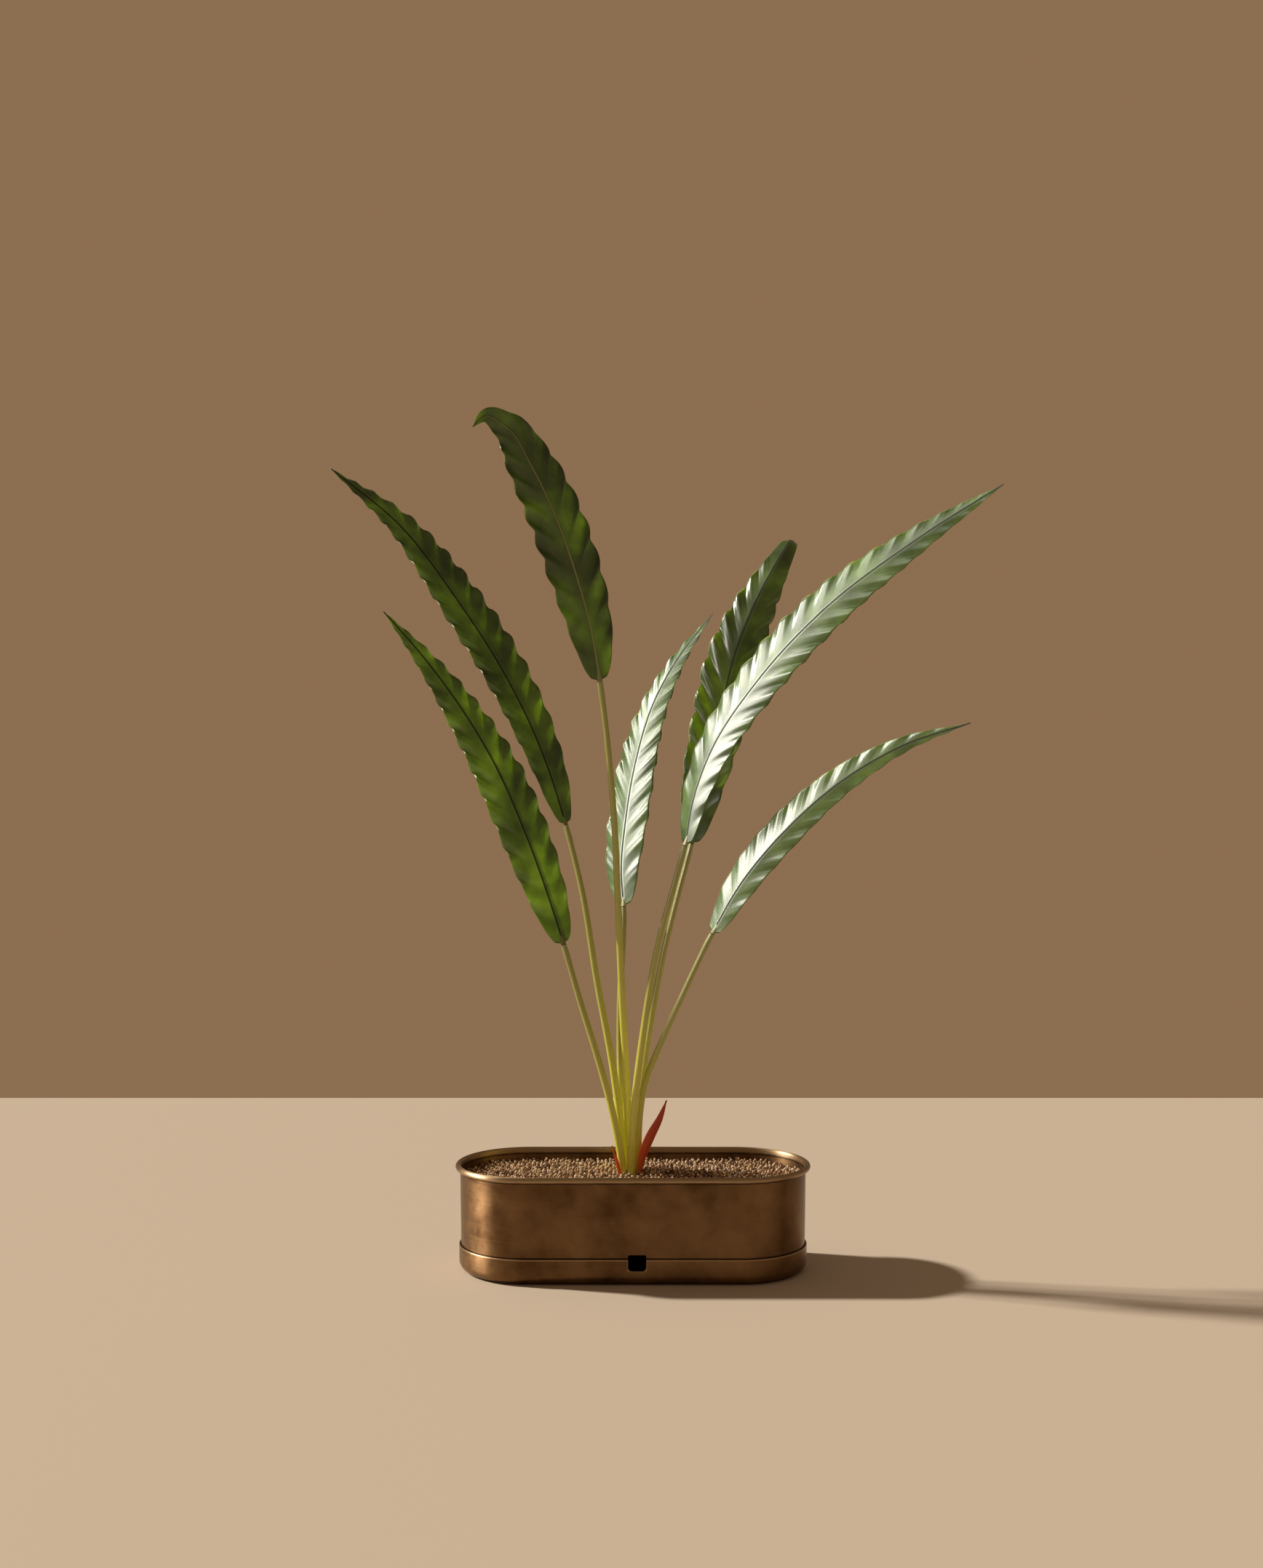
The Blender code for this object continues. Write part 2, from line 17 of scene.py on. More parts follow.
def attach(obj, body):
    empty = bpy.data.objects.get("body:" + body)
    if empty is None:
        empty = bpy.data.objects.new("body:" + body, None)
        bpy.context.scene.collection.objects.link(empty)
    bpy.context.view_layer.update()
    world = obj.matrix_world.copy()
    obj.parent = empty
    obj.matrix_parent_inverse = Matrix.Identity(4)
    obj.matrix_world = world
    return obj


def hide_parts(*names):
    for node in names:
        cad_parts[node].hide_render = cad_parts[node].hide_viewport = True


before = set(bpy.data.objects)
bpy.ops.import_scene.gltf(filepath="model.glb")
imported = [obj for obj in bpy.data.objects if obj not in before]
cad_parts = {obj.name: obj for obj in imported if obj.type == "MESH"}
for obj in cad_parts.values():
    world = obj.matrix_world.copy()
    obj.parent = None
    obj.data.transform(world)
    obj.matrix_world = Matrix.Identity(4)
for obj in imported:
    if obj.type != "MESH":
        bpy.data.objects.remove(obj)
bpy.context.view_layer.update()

# %% [markdown]
# ## The camera
# A photograph's view can be rebuilt from three things: where the camera stood, how far it leaned,
# and how long its lens was. The lens is worked out from its focal length in pixels, because that
# is what a fit to the pot's rim and the tray's base gives.

# %% Camera
PICTURE_WIDTH = 1736
FOCAL_PIXELS = 2500
SENSOR_WIDTH = 36.0
CAMERA_PLACE = (-0.0015, -1.841, 0.524)
CAMERA_LEAN = 0.018

scene = bpy.context.scene
eye = bpy.data.cameras.new("front_view")
eye.sensor_fit = "HORIZONTAL"
eye.sensor_width = SENSOR_WIDTH
eye.lens = FOCAL_PIXELS / PICTURE_WIDTH * SENSOR_WIDTH
camera = bpy.data.objects.new("front_view", eye)
camera.location = CAMERA_PLACE
camera.rotation_euler = (math.pi / 2 - CAMERA_LEAN, 0, 0)
scene.collection.objects.link(camera)
scene.camera = camera
print("lens:", round(eye.lens, 2), "mm")

# %% [markdown]
# ## Sums in node trees
# Both Geometry Nodes and materials are made of nodes, and a formula needs a Math node for each
# sign in it. Placing those by hand makes long scripts that are hard to read. Here a small class
# stands for one socket, and adding or multiplying two of them places the node and links it, so
# that a formula in the script looks like a formula.


# %% Sums and nodes
def sign(operation, swapped=False):
    """A function of one or more terms that places the Math node of this operation."""

    def place_it(term, *others):
        terms = (*others, term) if swapped else (term, *others)
        return result(term.tree, "ShaderNodeMath", enumerate(terms), operation=operation)

    return place_it


class Term:
    """One value in a node tree. A sum written with terms places Math nodes and links them."""

    __add__ = __radd__ = sign("ADD")
    __sub__, __rsub__ = sign("SUBTRACT"), sign("SUBTRACT", swapped=True)
    __mul__ = __rmul__ = sign("MULTIPLY")
    __truediv__, __pow__, __abs__ = sign("DIVIDE"), sign("POWER"), sign("ABSOLUTE")

    def __init__(self, socket):
        self.tree, self.socket = socket.id_data, socket


sine, cosine, hand_of = sign("SINE"), sign("COSINE"), sign("SIGN")
larger, smaller, is_over = sign("MAXIMUM"), sign("MINIMUM"), sign("GREATER_THAN")


def tree_of(*values):
    """The node tree of the first term among these values."""
    return next(value.tree for value in values if isinstance(value, Term))


def feed(socket, value):
    """Links a term or a socket to an input, or sets the input's own number or colour."""
    value = value.socket if isinstance(value, Term) else value
    if isinstance(value, bpy.types.NodeSocket):
        socket.id_data.links.new(value, socket)
    else:
        socket.default_value = value


def feed_all(node, inputs):
    """Feeds inputs by number or by name. Of inputs that share a name, one is in use at a time."""
    in_use = {socket.name: socket for socket in node.inputs if socket.enabled}
    for key, value in dict(inputs).items():
        feed(in_use[key] if key in in_use else node.inputs[key], value)


def place(tree, kind, inputs=(), **settings):
    """A new node, with its settings made and its inputs fed."""
    node = tree.nodes.new(kind)
    for name, value in settings.items():
        setattr(node, name, value)
    feed_all(node, inputs)
    return node


def result(tree, kind, inputs=(), **settings):
    """What a new node gives, as a term: the first of its outputs that is in use."""
    node = place(tree, kind, inputs, **settings)
    return Term(next(output for output in node.outputs if output.enabled))


def vector(x=0.0, y=0.0, z=0.0):
    return result(tree_of(x, y, z), "ShaderNodeCombineXYZ", {"X": x, "Y": y, "Z": z})


def parts_of(value):
    node = place(value.tree, "ShaderNodeSeparateXYZ", {0: value})
    return [Term(output) for output in node.outputs]


def added(first, second):
    return result(first.tree, "ShaderNodeVectorMath", {0: first, 1: second}, operation="ADD")


def scaled(direction, amount):
    inputs = {0: direction, "Scale": amount}
    return result(direction.tree, "ShaderNodeVectorMath", inputs, operation="SCALE")


def clouds(where, scale, detail=2.0, roughness=0.5):
    """Soft noise, from 0 to 1."""
    inputs = {"Vector": where, "Scale": scale, "Detail": detail, "Roughness": roughness}
    return result(where.tree, "ShaderNodeTexNoise", inputs)


def new_tree(name, kind, inputs, outputs):
    """A tree with named inputs and outputs: the tree, its inputs as terms, and its ending."""
    tree = bpy.data.node_groups.new(name, kind)
    for way, sockets in (("OUTPUT", outputs), ("INPUT", inputs)):
        for label, value_kind in sockets.items():
            tree.interface.new_socket(label, in_out=way, socket_type=f"NodeSocket{value_kind}")
    entry, ending = tree.nodes.new("NodeGroupInput"), tree.nodes.new("NodeGroupOutput")
    return tree, {s.name: Term(s) for s in entry.outputs if s.name}, ending


print("helpers for sums and nodes are ready")

# %% [markdown]
# ## Geometry Nodes from a script
# A Geometry Nodes tree is a recipe with named inputs. The script builds the tree once, gives it to
# a modifier with one piece's sizes, and takes the finished mesh. Each input is set by its
# identifier, because two inputs may share a name. Copies that a tree makes are realised, so that
# the result is a plain mesh.

# %% Recipes and plain meshes
WELD = 0.00001


def placed(name, data):
    """A new object in the scene."""
    obj = bpy.data.objects.new(name, data)
    scene.collection.objects.link(obj)
    return obj


@contextmanager
def editing(mesh):
    """Opens a mesh for editing, and writes it back at the end."""
    bm = bmesh.new()
    bm.from_mesh(mesh)
    yield bm
    bm.to_mesh(mesh)
    bm.free()


def evaluated_mesh(obj):
    """The plain mesh that an object's modifiers make, under its name; the object is removed."""
    graph = bpy.context.evaluated_depsgraph_get()
    mesh = bpy.data.meshes.new_from_object(obj.evaluated_get(graph), depsgraph=graph)
    mesh.name = obj.name
    bpy.data.objects.remove(obj, do_unlink=True)
    return mesh


def new_recipe(name, numbers, **others):
    """A Geometry Nodes tree with a mesh in, a mesh out, numbers to set and a finish."""
    inputs = {"Mesh": "Geometry", **dict.fromkeys(numbers, "Float"), **others, "Finish": "Material"}
    return new_tree(name, "GeometryNodeTree", inputs, {"Mesh": "Geometry"})


def end_recipe(ending, mesh, finish):
    """Ends a tree in one smooth, realised mesh with its material."""
    smooth = result(mesh.tree, "GeometryNodeSetShadeSmooth", {0: mesh})
    realised = result(mesh.tree, "GeometryNodeRealizeInstances", {0: smooth})
    painted = result(mesh.tree, "GeometryNodeSetMaterial", {0: realised, "Material": finish})
    feed(ending.inputs[0], painted)


def read(tree, name, kind="FLOAT"):
    """A value that the mesh keeps under this name."""
    return result(tree, "GeometryNodeInputNamedAttribute", {"Name": name}, data_type=kind)


def keep(mesh, domain="POINT", **values):
    """Keeps numbers on each point of the mesh, each under its name."""
    for name, value in values.items():
        inputs = {"Geometry": mesh, "Name": name, "Value": value}
        mesh = result(mesh.tree, "GeometryNodeStoreNamedAttribute", inputs,
                      data_type="FLOAT", domain=domain)
    return mesh


def joined(*meshes):
    node = place(meshes[0].tree, "GeometryNodeJoinGeometry")
    for mesh in meshes:
        feed(node.inputs[0], mesh)
    return Term(node.outputs[0])


def tube(line, sides, radius):
    """A round tube along a line, whose radius may change on the way."""
    size = {"Resolution": sides, "Radius": 1.0}
    ring = result(line.tree, "GeometryNodeCurvePrimitiveCircle", size)
    inputs = {"Curve": line, "Profile Curve": ring, "Scale": radius, "Fill Caps": True}
    return result(line.tree, "GeometryNodeCurveToMesh", inputs)


def cook(name, start, recipe, values):
    """The plain mesh that a recipe makes of a starting mesh with these values."""
    obj = placed(name, start)
    modifier = obj.modifiers.new(recipe.name, "NODES")
    modifier.node_group = recipe
    for item in recipe.interface.items_tree:
        if item.in_out == "INPUT" and item.name in values:
            modifier[item.identifier] = values[item.name]
    return evaluated_mesh(obj)


def made_good(mesh):
    """Welds a mesh's doubles and turns its faces outwards."""
    with editing(mesh) as bm:
        bmesh.ops.remove_doubles(bm, verts=bm.verts, dist=WELD)
        bmesh.ops.recalc_face_normals(bm, faces=bm.faces)
    return mesh


def coated(mesh, material, sharp_degrees=None):
    """Gives a mesh its material and smooth shading, but for corners sharper than this."""
    mesh.materials.clear()
    mesh.materials.append(material)
    mesh.shade_smooth()
    if sharp_degrees:
        mesh.set_sharp_from_angle(angle=math.radians(sharp_degrees))
    return mesh


def edge_chain(name, points):
    """A mesh of points joined in a row."""
    mesh = bpy.data.meshes.new(name)
    mesh.from_pydata([tuple(p) for p in points], [(i, i + 1) for i in range(len(points) - 1)], [])
    return mesh


def keep_on(mesh, name, numbers, kind="FLOAT"):
    """Keeps numbers or directions on a mesh's points, for its recipe or material to read."""
    values = mesh.attributes.new(name, kind, "POINT")
    field = "value" if kind == "FLOAT" else "vector"
    values.data.foreach_set(field, np.array(numbers, np.float32).ravel())


def finished(name, mesh, slot, *nodes):
    """The piece's object: it rides on the root body and stands for these nodes. slot is not used.
    """
    obj = placed(name, mesh)
    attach(obj, "root")
    if nodes:
        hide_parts(*nodes)
    mesh.calc_loop_triangles()
    print(name, len(mesh.loop_triangles), "triangles")


print("helpers for recipes and meshes are ready")

# %% [markdown]
# ## Materials
# Every surface here is a Principled shader whose colour, roughness and bump come from noise and
# from values kept on the mesh. The helpers below start a material, spread a set of colours over a
# number from 0 to 1, and turn a height into a bumped normal.


# %% Material helpers
def new_material(name, **settings):
    """A material and its Principled shader. A number that is the same all over is set on it."""
    material = bpy.data.materials.new(name)
    material.use_nodes = True
    shader = material.node_tree.nodes["Principled BSDF"]
    for label, value in settings.items():
        shader.inputs[label.replace("_", " ")].default_value = value
    return material, material.node_tree, shader


def spread(share, stops):
    """A colour for each share from 0 to 1, mixed between stops of (share, red, green, blue)."""
    node = place(share.tree, "ShaderNodeValToRGB", {0: share})
    ramp = node.color_ramp
    while len(ramp.elements) < len(stops):
        ramp.elements.new(1.0)
    for element, (position, *colour) in zip(ramp.elements, stops):
        element.position = position
        element.color = (*colour, 1.0)
    return Term(node.outputs[0])


def blended(share, first, second, how="MIX"):
    """Two colours mixed by a share."""
    inputs = {"Factor": share, "A": first, "B": second}
    tree = tree_of(share, first)
    return result(tree, "ShaderNodeMix", inputs, data_type="RGBA", blend_type=how)


def shaded(colour, share):
    """A colour darkened to a share of itself."""
    return blended(1.0, colour, vector(share, share, share), "MULTIPLY")


def between(value, low, high, new_low=0.0, new_high=1.0):
    """A value from low to high, spread from new_low to new_high and held inside them."""
    inputs = {0: value, 1: low, 2: high, 3: new_low, 4: new_high}
    return result(value.tree, "ShaderNodeMapRange", inputs)


def bumped(shader, height, depth):
    """Feeds a bump from a height of 0 to 1 and its real depth into the shader's normal."""
    inputs = {"Strength": 1.0, "Distance": depth, "Height": height}
    feed(shader.inputs["Normal"], result(height.tree, "ShaderNodeBump", inputs))


def glowing(shader, colour):
    """Adds light from behind, in this colour, to what the shader gives."""
    tree = colour.tree
    passing = result(tree, "ShaderNodeBsdfTranslucent", {"Color": colour})
    both = result(tree, "ShaderNodeAddShader", {0: shader.outputs[0], 1: passing})
    feed(tree.nodes["Material Output"].inputs["Surface"], both)


def kept_values(tree, *names):
    """Numbers that the mesh keeps under these names."""
    nodes = [place(tree, "ShaderNodeAttribute", attribute_name=name) for name in names]
    return [Term(node.outputs["Fac"]) for node in nodes]


def object_place(tree):
    return Term(tree.nodes.new("ShaderNodeTexCoord").outputs["Object"])


def ragged_height(tree, scale, depth):
    """The height in an object, moved by noise so that a line drawn at a height is ragged."""
    uneven = clouds(object_place(tree), scale, 3.0) - 0.5
    return parts_of(object_place(tree))[2] + uneven * depth


def use_effect(tree, effect, inputs):
    """Places an effect in a material, and returns its outputs by name."""
    node = place(tree, "ShaderNodeGroup", inputs, node_tree=effect)
    return {output.name: Term(output) for output in node.outputs}


print("helpers for materials are ready")

# %% [markdown]
# ## Aged brass
# The pot and the tray are thin brass sheet that has gone brown: a satin metal with soft clouds of
# darker and more golden patina, and fine marks along the wall from brushing. The rims are brighter
# metal, where cloths and hands rub them and as a painted highlight, and thin lines on the pot's
# wall are painted shade. One effect holds the pattern, and both pieces use it with their own
# values.
# Brushing is noise that changes fast up the wall and slowly along it.

# %% Patina effect
BROAD_CLOUDS = 14.0
FINE_CLOUDS = 70.0
SPECKS = 900.0
BRUSH_ALONG = 7.0
BRUSH_UP = 1700.0
BRUSH_SHOWS = 0.12
GOLDEN_RANGE = (0.36, 0.66)
FLECK_RANGE = (0.66, 0.80)
FLECKS_SHOW = 0.35
DARKENING_STRENGTH = 0.75
GLOSS_RANGE = (0.3, 0.7)
GLOSS_CHANGE = (-0.08, 0.05)
RUBBING_DULLS = 0.06

patina, given, leaving = new_tree(
    "patina", "ShaderNodeTree",
    {"Place": "Vector", **dict.fromkeys(("Dark", "Golden", "Worn And Lit"), "Color"),
     **dict.fromkeys(("Wear And Highlight", "Darkening", "Roughest"), "Float")},
    {"Colour": "Color", "Roughness": "Float", "Height": "Float"},
)
along_x, along_y, up = parts_of(given["Place"])
strokes = vector(along_x * BRUSH_ALONG, along_y * BRUSH_ALONG, up * BRUSH_UP)
brushing = clouds(strokes, 1.0, 3.0, 0.6)
brushed_tone = (brushing - 0.5) * BRUSH_SHOWS
broad = clouds(given["Place"], BROAD_CLOUDS, 3.0, 0.55)
fine = clouds(given["Place"], FINE_CLOUDS, 4.0, 0.6)
specks = clouds(given["Place"], SPECKS, 1.0, 0.5)
golden = between(broad * 0.7 + fine * 0.3 + brushed_tone, *GOLDEN_RANGE)
tarnished = blended(golden, given["Dark"], given["Golden"])
flecks = between(specks, *FLECK_RANGE) * FLECKS_SHOW
flecked = blended(flecks, tarnished, given["Dark"])
shone = blended(given["Wear And Highlight"], flecked, given["Worn And Lit"])
dull = between(fine * 0.6 + broad * 0.4, *GLOSS_RANGE, *GLOSS_CHANGE)
# The worn colour is both wear and a painted highlight, and the last share darkens the colour, which
# on the pot's wall is painted shade.
feed_all(leaving, {
    "Colour": shaded(shone, 1 - given["Darkening"] * DARKENING_STRENGTH),
    "Roughness": given["Roughest"] + dull + brushed_tone + given["Wear And Highlight"] * RUBBING_DULLS,
    "Height": brushing * 0.6 + specks * 0.2 + fine * 0.2,
})
print("patina:", len(patina.nodes), "nodes")

# %% Brass of the pot and of the tray
BRASS_DARK = (0.100, 0.050, 0.020, 1.0)
BRASS_GOLDEN = (0.265, 0.152, 0.070, 1.0)
# Brass laid on the rims as worn metal and as a painted highlight.
BRASS_WORN_AND_LIT = (0.50, 0.35, 0.20, 1.0)
POT_ROUGHEST = 0.42
TRAY_ROUGHEST = 0.38
BRUSH_DEPTH = 0.00004
BRUSHED_STRETCH = 0.75
STRETCH_UPWARDS = 0.25


def brass(name, wear_and_highlight, darkening, roughest):
    """Brass with patina; functions give its bright parts (wear and painted highlight) and dark
    parts.
    """
    material, tree, shader = new_material(
        name, Metallic=1.0, Anisotropic=BRUSHED_STRETCH, Anisotropic_Rotation=STRETCH_UPWARDS
    )
    outputs = use_effect(
        tree, patina,
        {"Place": object_place(tree), "Dark": BRASS_DARK, "Golden": BRASS_GOLDEN,
         "Worn And Lit": BRASS_WORN_AND_LIT, "Wear And Highlight": wear_and_highlight(tree), "Darkening": darkening(tree), "Roughest": roughest},
    )
    feed_all(shader, {"Base Color": outputs["Colour"], "Roughness": outputs["Roughness"]})
    bumped(shader, outputs["Height"], BRUSH_DEPTH)
    return material


print("brass tones:", BRASS_DARK[:3], BRASS_GOLDEN[:3], BRASS_WORN_AND_LIT[:3])

# %% [markdown]
# ## The oblong pot and its tray
# Both are spun shapes that were stretched: two half rounds with straight sides between them. So a
# profile is drawn once, turned round with a Screw modifier, and its two halves are moved apart.
# The rim is rolled outwards into a bead, the foot turns in, and a raised floor with drain holes
# keeps the roots out of the water in the tray. The notch in the tray is where water is poured in.

# %% Sizes of the pot and tray
HALF_STRAIGHT = 0.107
WALL = 0.0012
POT_HALF_DEPTH_TOP = 0.0682
POT_HALF_DEPTH_FOOT = 0.0672
POT_HEIGHT = 0.107
BEAD_RADIUS = 0.003
POT_FLOOR_TOP = 0.0338
POT_CLEARANCE_BELOW = 0.0015
POT_FOOT_RADIUS = 0.0082
DRAIN_RADIUS = 0.006
DRAIN_PLACES = (-0.085, 0.0, 0.085)
TRAY_HALF_DEPTH = 0.0693
TRAY_HEIGHT = 0.026
TRAY_FOOT_RADIUS = 0.010
NOTCH_MIDDLE = 0.004
NOTCH_WIDTH = 0.018
NOTCH_FOOT = 0.0147
NOTCH_TOP = 0.0303
NOTCH_CORNER = 0.004
SLOT_CORNER = 0.0015
UNDER_BEAD = POT_HEIGHT - 2 * BEAD_RADIUS - 0.0002
OVER_LIP = TRAY_HEIGHT + 0.0006
ROUND_STEPS = 128
BEND_STEPS = 12
CORNER_STEPS = 8
DRAIN_SIDES = 32
METAL_SHARP_DEGREES = 38
print("pot length:", round(2 * (HALF_STRAIGHT + POT_HALF_DEPTH_TOP - WALL) + 4 * BEAD_RADIUS, 3))


# %% Turning a profile
def arc(middle, radius, start, end, steps):
    """Points (distance out, height) round part of a circle, its ends in degrees."""
    angles = np.radians(np.linspace(start, end, steps + 1))
    return [(middle[0] + radius * math.cos(a), middle[1] + radius * math.sin(a)) for a in angles]


def turned_oblong(name, profile):
    """A profile turned round Z, its two halves then moved apart along X, and its ends closed."""
    half_step = math.pi / ROUND_STEPS
    points = [(r * math.cos(half_step), r * math.sin(half_step), z) for r, z in profile]
    turned = placed(name, edge_chain(name, points))
    screw = turned.modifiers.new("Turn", "SCREW")
    screw.steps = screw.render_steps = ROUND_STEPS
    screw.use_merge_vertices = True
    screw.merge_threshold = WELD
    mesh = made_good(evaluated_mesh(turned))
    with editing(mesh) as bm:
        for vert in bm.verts:
            vert.co.x += math.copysign(HALF_STRAIGHT, vert.co.x)
        bmesh.ops.holes_fill(bm, edges=[edge for edge in bm.edges if edge.is_boundary])
        bmesh.ops.recalc_face_normals(bm, faces=bm.faces)
    return mesh


def notch_cutter(name, front, back, foot, top, corner):
    """A box as wide as the notch, with its four edges along Y rounded, to cut with."""
    low = Vector((NOTCH_MIDDLE - NOTCH_WIDTH / 2, front, foot))
    high = Vector((NOTCH_MIDDLE + NOTCH_WIDTH / 2, back, top))
    mesh = bpy.data.meshes.new(name)
    with editing(mesh) as bm:
        bmesh.ops.create_cube(bm, size=1.0)
        bmesh.ops.scale(bm, vec=high - low, verts=bm.verts)
        bmesh.ops.translate(bm, vec=(low + high) / 2, verts=bm.verts)
        edges = [e for e in bm.edges if abs(e.verts[0].co.y - e.verts[1].co.y) > WALL]
        bmesh.ops.bevel(
            bm, geom=edges, offset=corner, segments=CORNER_STEPS, profile=0.5, affect="EDGES"
        )
    return placed(name, mesh)


def drain_cutter(place_x):
    """An upright bar through the pot's floor, to cut with."""
    mesh = bpy.data.meshes.new(f"drain_{place_x}")
    with editing(mesh) as bm:
        bmesh.ops.create_cone(
            bm, cap_ends=True, segments=DRAIN_SIDES, radius1=DRAIN_RADIUS, radius2=DRAIN_RADIUS,
            depth=6 * WALL, matrix=Matrix.Translation((place_x, 0, POT_FLOOR_TOP - WALL / 2)),
        )
    return placed(mesh.name, mesh)


def cut_mesh(name, mesh, cutters, material):
    """The mesh with the cutters taken out of it, shaded smooth but for its corners."""
    obj = placed(name, mesh)
    for cutter in cutters:
        boolean = obj.modifiers.new(cutter.name, "BOOLEAN")
        boolean.operation = "DIFFERENCE"
        boolean.solver = "EXACT"
        boolean.object = cutter
    cut = evaluated_mesh(obj)
    for cutter in cutters:
        bpy.data.objects.remove(cutter, do_unlink=True)
    return coated(cut, material, METAL_SHARP_DEGREES)


print("turning tools are ready")

# %% Pot
# The rim's bead is painted brighter, as wear and as a highlight.
RIM_SHINE = 0.7
RIM_SHINE_RANGE = (POT_HEIGHT - 0.0066, POT_HEIGHT - 0.0040)
# Painted shade in two thin lines on the pot's wall, under the bead and over the tray's lip.
SHADE_LINE_SHOWS = 0.9
SHADE_LINE_CORE = 0.0004
SHADE_LINE_REACH = {UNDER_BEAD: 0.0016, OVER_LIP: 0.0012}


def rim_wear_and_highlight(tree):
    """The rolled rim is brighter all round its bead, as wear and as a painted highlight."""
    return between(ragged_height(tree, 60.0, 0.004), *RIM_SHINE_RANGE, 0, RIM_SHINE)


def wall_shade_lines(tree):
    """Painted shade: a thin dark line under the bead and another over the tray's lip."""
    height = ragged_height(tree, 90.0, 0.0012)
    under_bead, over_lip = (
        between(abs(height - middle), SHADE_LINE_CORE, reach, SHADE_LINE_SHOWS, 0.0)
        for middle, reach in SHADE_LINE_REACH.items()
    )
    return larger(under_bead, over_lip)


def pot_profile():
    """The wall's outline, from the raised floor up inside, over the bead and down to the foot."""
    top, foot = POT_HALF_DEPTH_TOP, POT_HALF_DEPTH_FOOT
    bead_height = POT_HEIGHT - BEAD_RADIUS
    bead_middle = (top - WALL + BEAD_RADIUS, bead_height)
    wall_meets_bead = -180 + math.degrees(math.acos((BEAD_RADIUS - WALL) / BEAD_RADIUS))
    turn_in = (foot - POT_FOOT_RADIUS, POT_CLEARANCE_BELOW + POT_FOOT_RADIUS)
    floor_under = POT_FLOOR_TOP - WALL

    def inner_at(height):
        share = (height - turn_in[1]) / (bead_height - turn_in[1])
        return foot + share * (top - foot) - WALL

    return [
        (inner_at(POT_FLOOR_TOP), POT_FLOOR_TOP),
        *arc(bead_middle, BEAD_RADIUS, 180, wall_meets_bead, 2 * BEND_STEPS),
        *arc(turn_in, POT_FOOT_RADIUS, 0, -90, BEND_STEPS),
        *arc(turn_in, POT_FOOT_RADIUS - WALL, -90, 0, BEND_STEPS),
        (inner_at(floor_under), floor_under),
    ]


front = -POT_HALF_DEPTH_TOP
slot = notch_cutter("slot", front - 2 * WALL, front + 5 * WALL,
                    NOTCH_FOOT - 2 * SLOT_CORNER, NOTCH_TOP, SLOT_CORNER)
pot_mesh = cut_mesh(
    "brass_pot", turned_oblong("pot_wall", pot_profile()),
    [slot, *(drain_cutter(x) for x in DRAIN_PLACES)],
    brass("pot_brass", rim_wear_and_highlight, wall_shade_lines, POT_ROUGHEST),
)
finished("brass_pot", pot_mesh, "aged_brass", "pot")

# %% Tray
# The lip is painted brighter as wear and a highlight, and the notch's cut edge as a highlight.
LIP_SHINE = 0.8
LIP_SHINE_RANGE = (TRAY_HEIGHT - 0.0016, TRAY_HEIGHT - 0.0006)
NOTCH_SHINE = 0.35
NOTCH_SHINE_RANGE = (0.0002, 0.0010)
FRONT_RANGE = (-TRAY_HALF_DEPTH + 0.004, -TRAY_HALF_DEPTH + 0.002)
FOOT_DARKENING = 0.6
FOOT_DARKENING_RANGE = (0.0005, 0.0045)


def lip_wear_and_notch_highlight(tree):
    """The lip is brighter as wear and a painted highlight; the notch's cut edge gets a painted
    highlight.
    """
    x, y, z = parts_of(object_place(tree))
    lip = between(z, *LIP_SHINE_RANGE, 0, LIP_SHINE)
    aside = larger(abs(x - NOTCH_MIDDLE) - NOTCH_WIDTH / 2, 0.0)
    below = larger(NOTCH_FOOT - z, 0.0)
    from_edge = (aside * aside + below * below) ** 0.5
    edge = between(from_edge, *NOTCH_SHINE_RANGE, NOTCH_SHINE, 0.0)
    return larger(lip, edge * between(y, *FRONT_RANGE))


def foot_darkening(tree):
    """The tray's rounded foot is darker towards the bottom, where it turns under."""
    return between(ragged_height(tree, 50.0, 0.004), *FOOT_DARKENING_RANGE, FOOT_DARKENING, 0.0)


outer, radius = TRAY_HALF_DEPTH, TRAY_FOOT_RADIUS
tray_profile = [
    *arc((outer - radius, radius), radius - WALL, -90, 0, BEND_STEPS),
    *arc((outer - WALL / 2, TRAY_HEIGHT - WALL / 2), WALL / 2, 180, 0, CORNER_STEPS),
    *arc((outer - radius, radius), radius, 0, -90, BEND_STEPS),
]
notch = notch_cutter("notch", -outer - 2 * WALL, -outer + 4 * WALL,
                     NOTCH_FOOT, TRAY_HEIGHT + 3 * NOTCH_CORNER, NOTCH_CORNER)
tray_mesh = cut_mesh(
    "brass_tray", turned_oblong("tray_wall", tray_profile), [notch],
    brass("tray_brass", lip_wear_and_notch_highlight, foot_darkening, TRAY_ROUGHEST),
)
finished("brass_tray", tray_mesh, "aged_brass", "tray")

# %% [markdown]
# ## Soil
# The soil is loose, roundish potting granules about 3 mm across. Under them lies a bed that
# fills the pot and has the same slight mound as the solid. The granules themselves are thousands
# of copies of one small stone, so Geometry Nodes scatter them over the bed, turn and stretch each
# one at random, and keep a random tone on each, which the material turns into tan or brown.

# %% Soil materials
# The darkest tones also colour the bed, as painted shade between the granules.
GRAIN_TONES = [
    (0.00, 0.090, 0.042, 0.017),
    (0.25, 0.420, 0.240, 0.125),
    (0.60, 0.660, 0.440, 0.260),
    (0.88, 0.800, 0.590, 0.390),
    (1.00, 0.860, 0.700, 0.520),
]
GRAIN_PITS = 1500.0
GRAIN_BUMP = 0.00012
BED_CLOUDS = 420.0
BED_BUMP = 0.0012
PIT_RANGE = (0.3, 0.6)
PIT_SHADE = (0.62, 1.08)

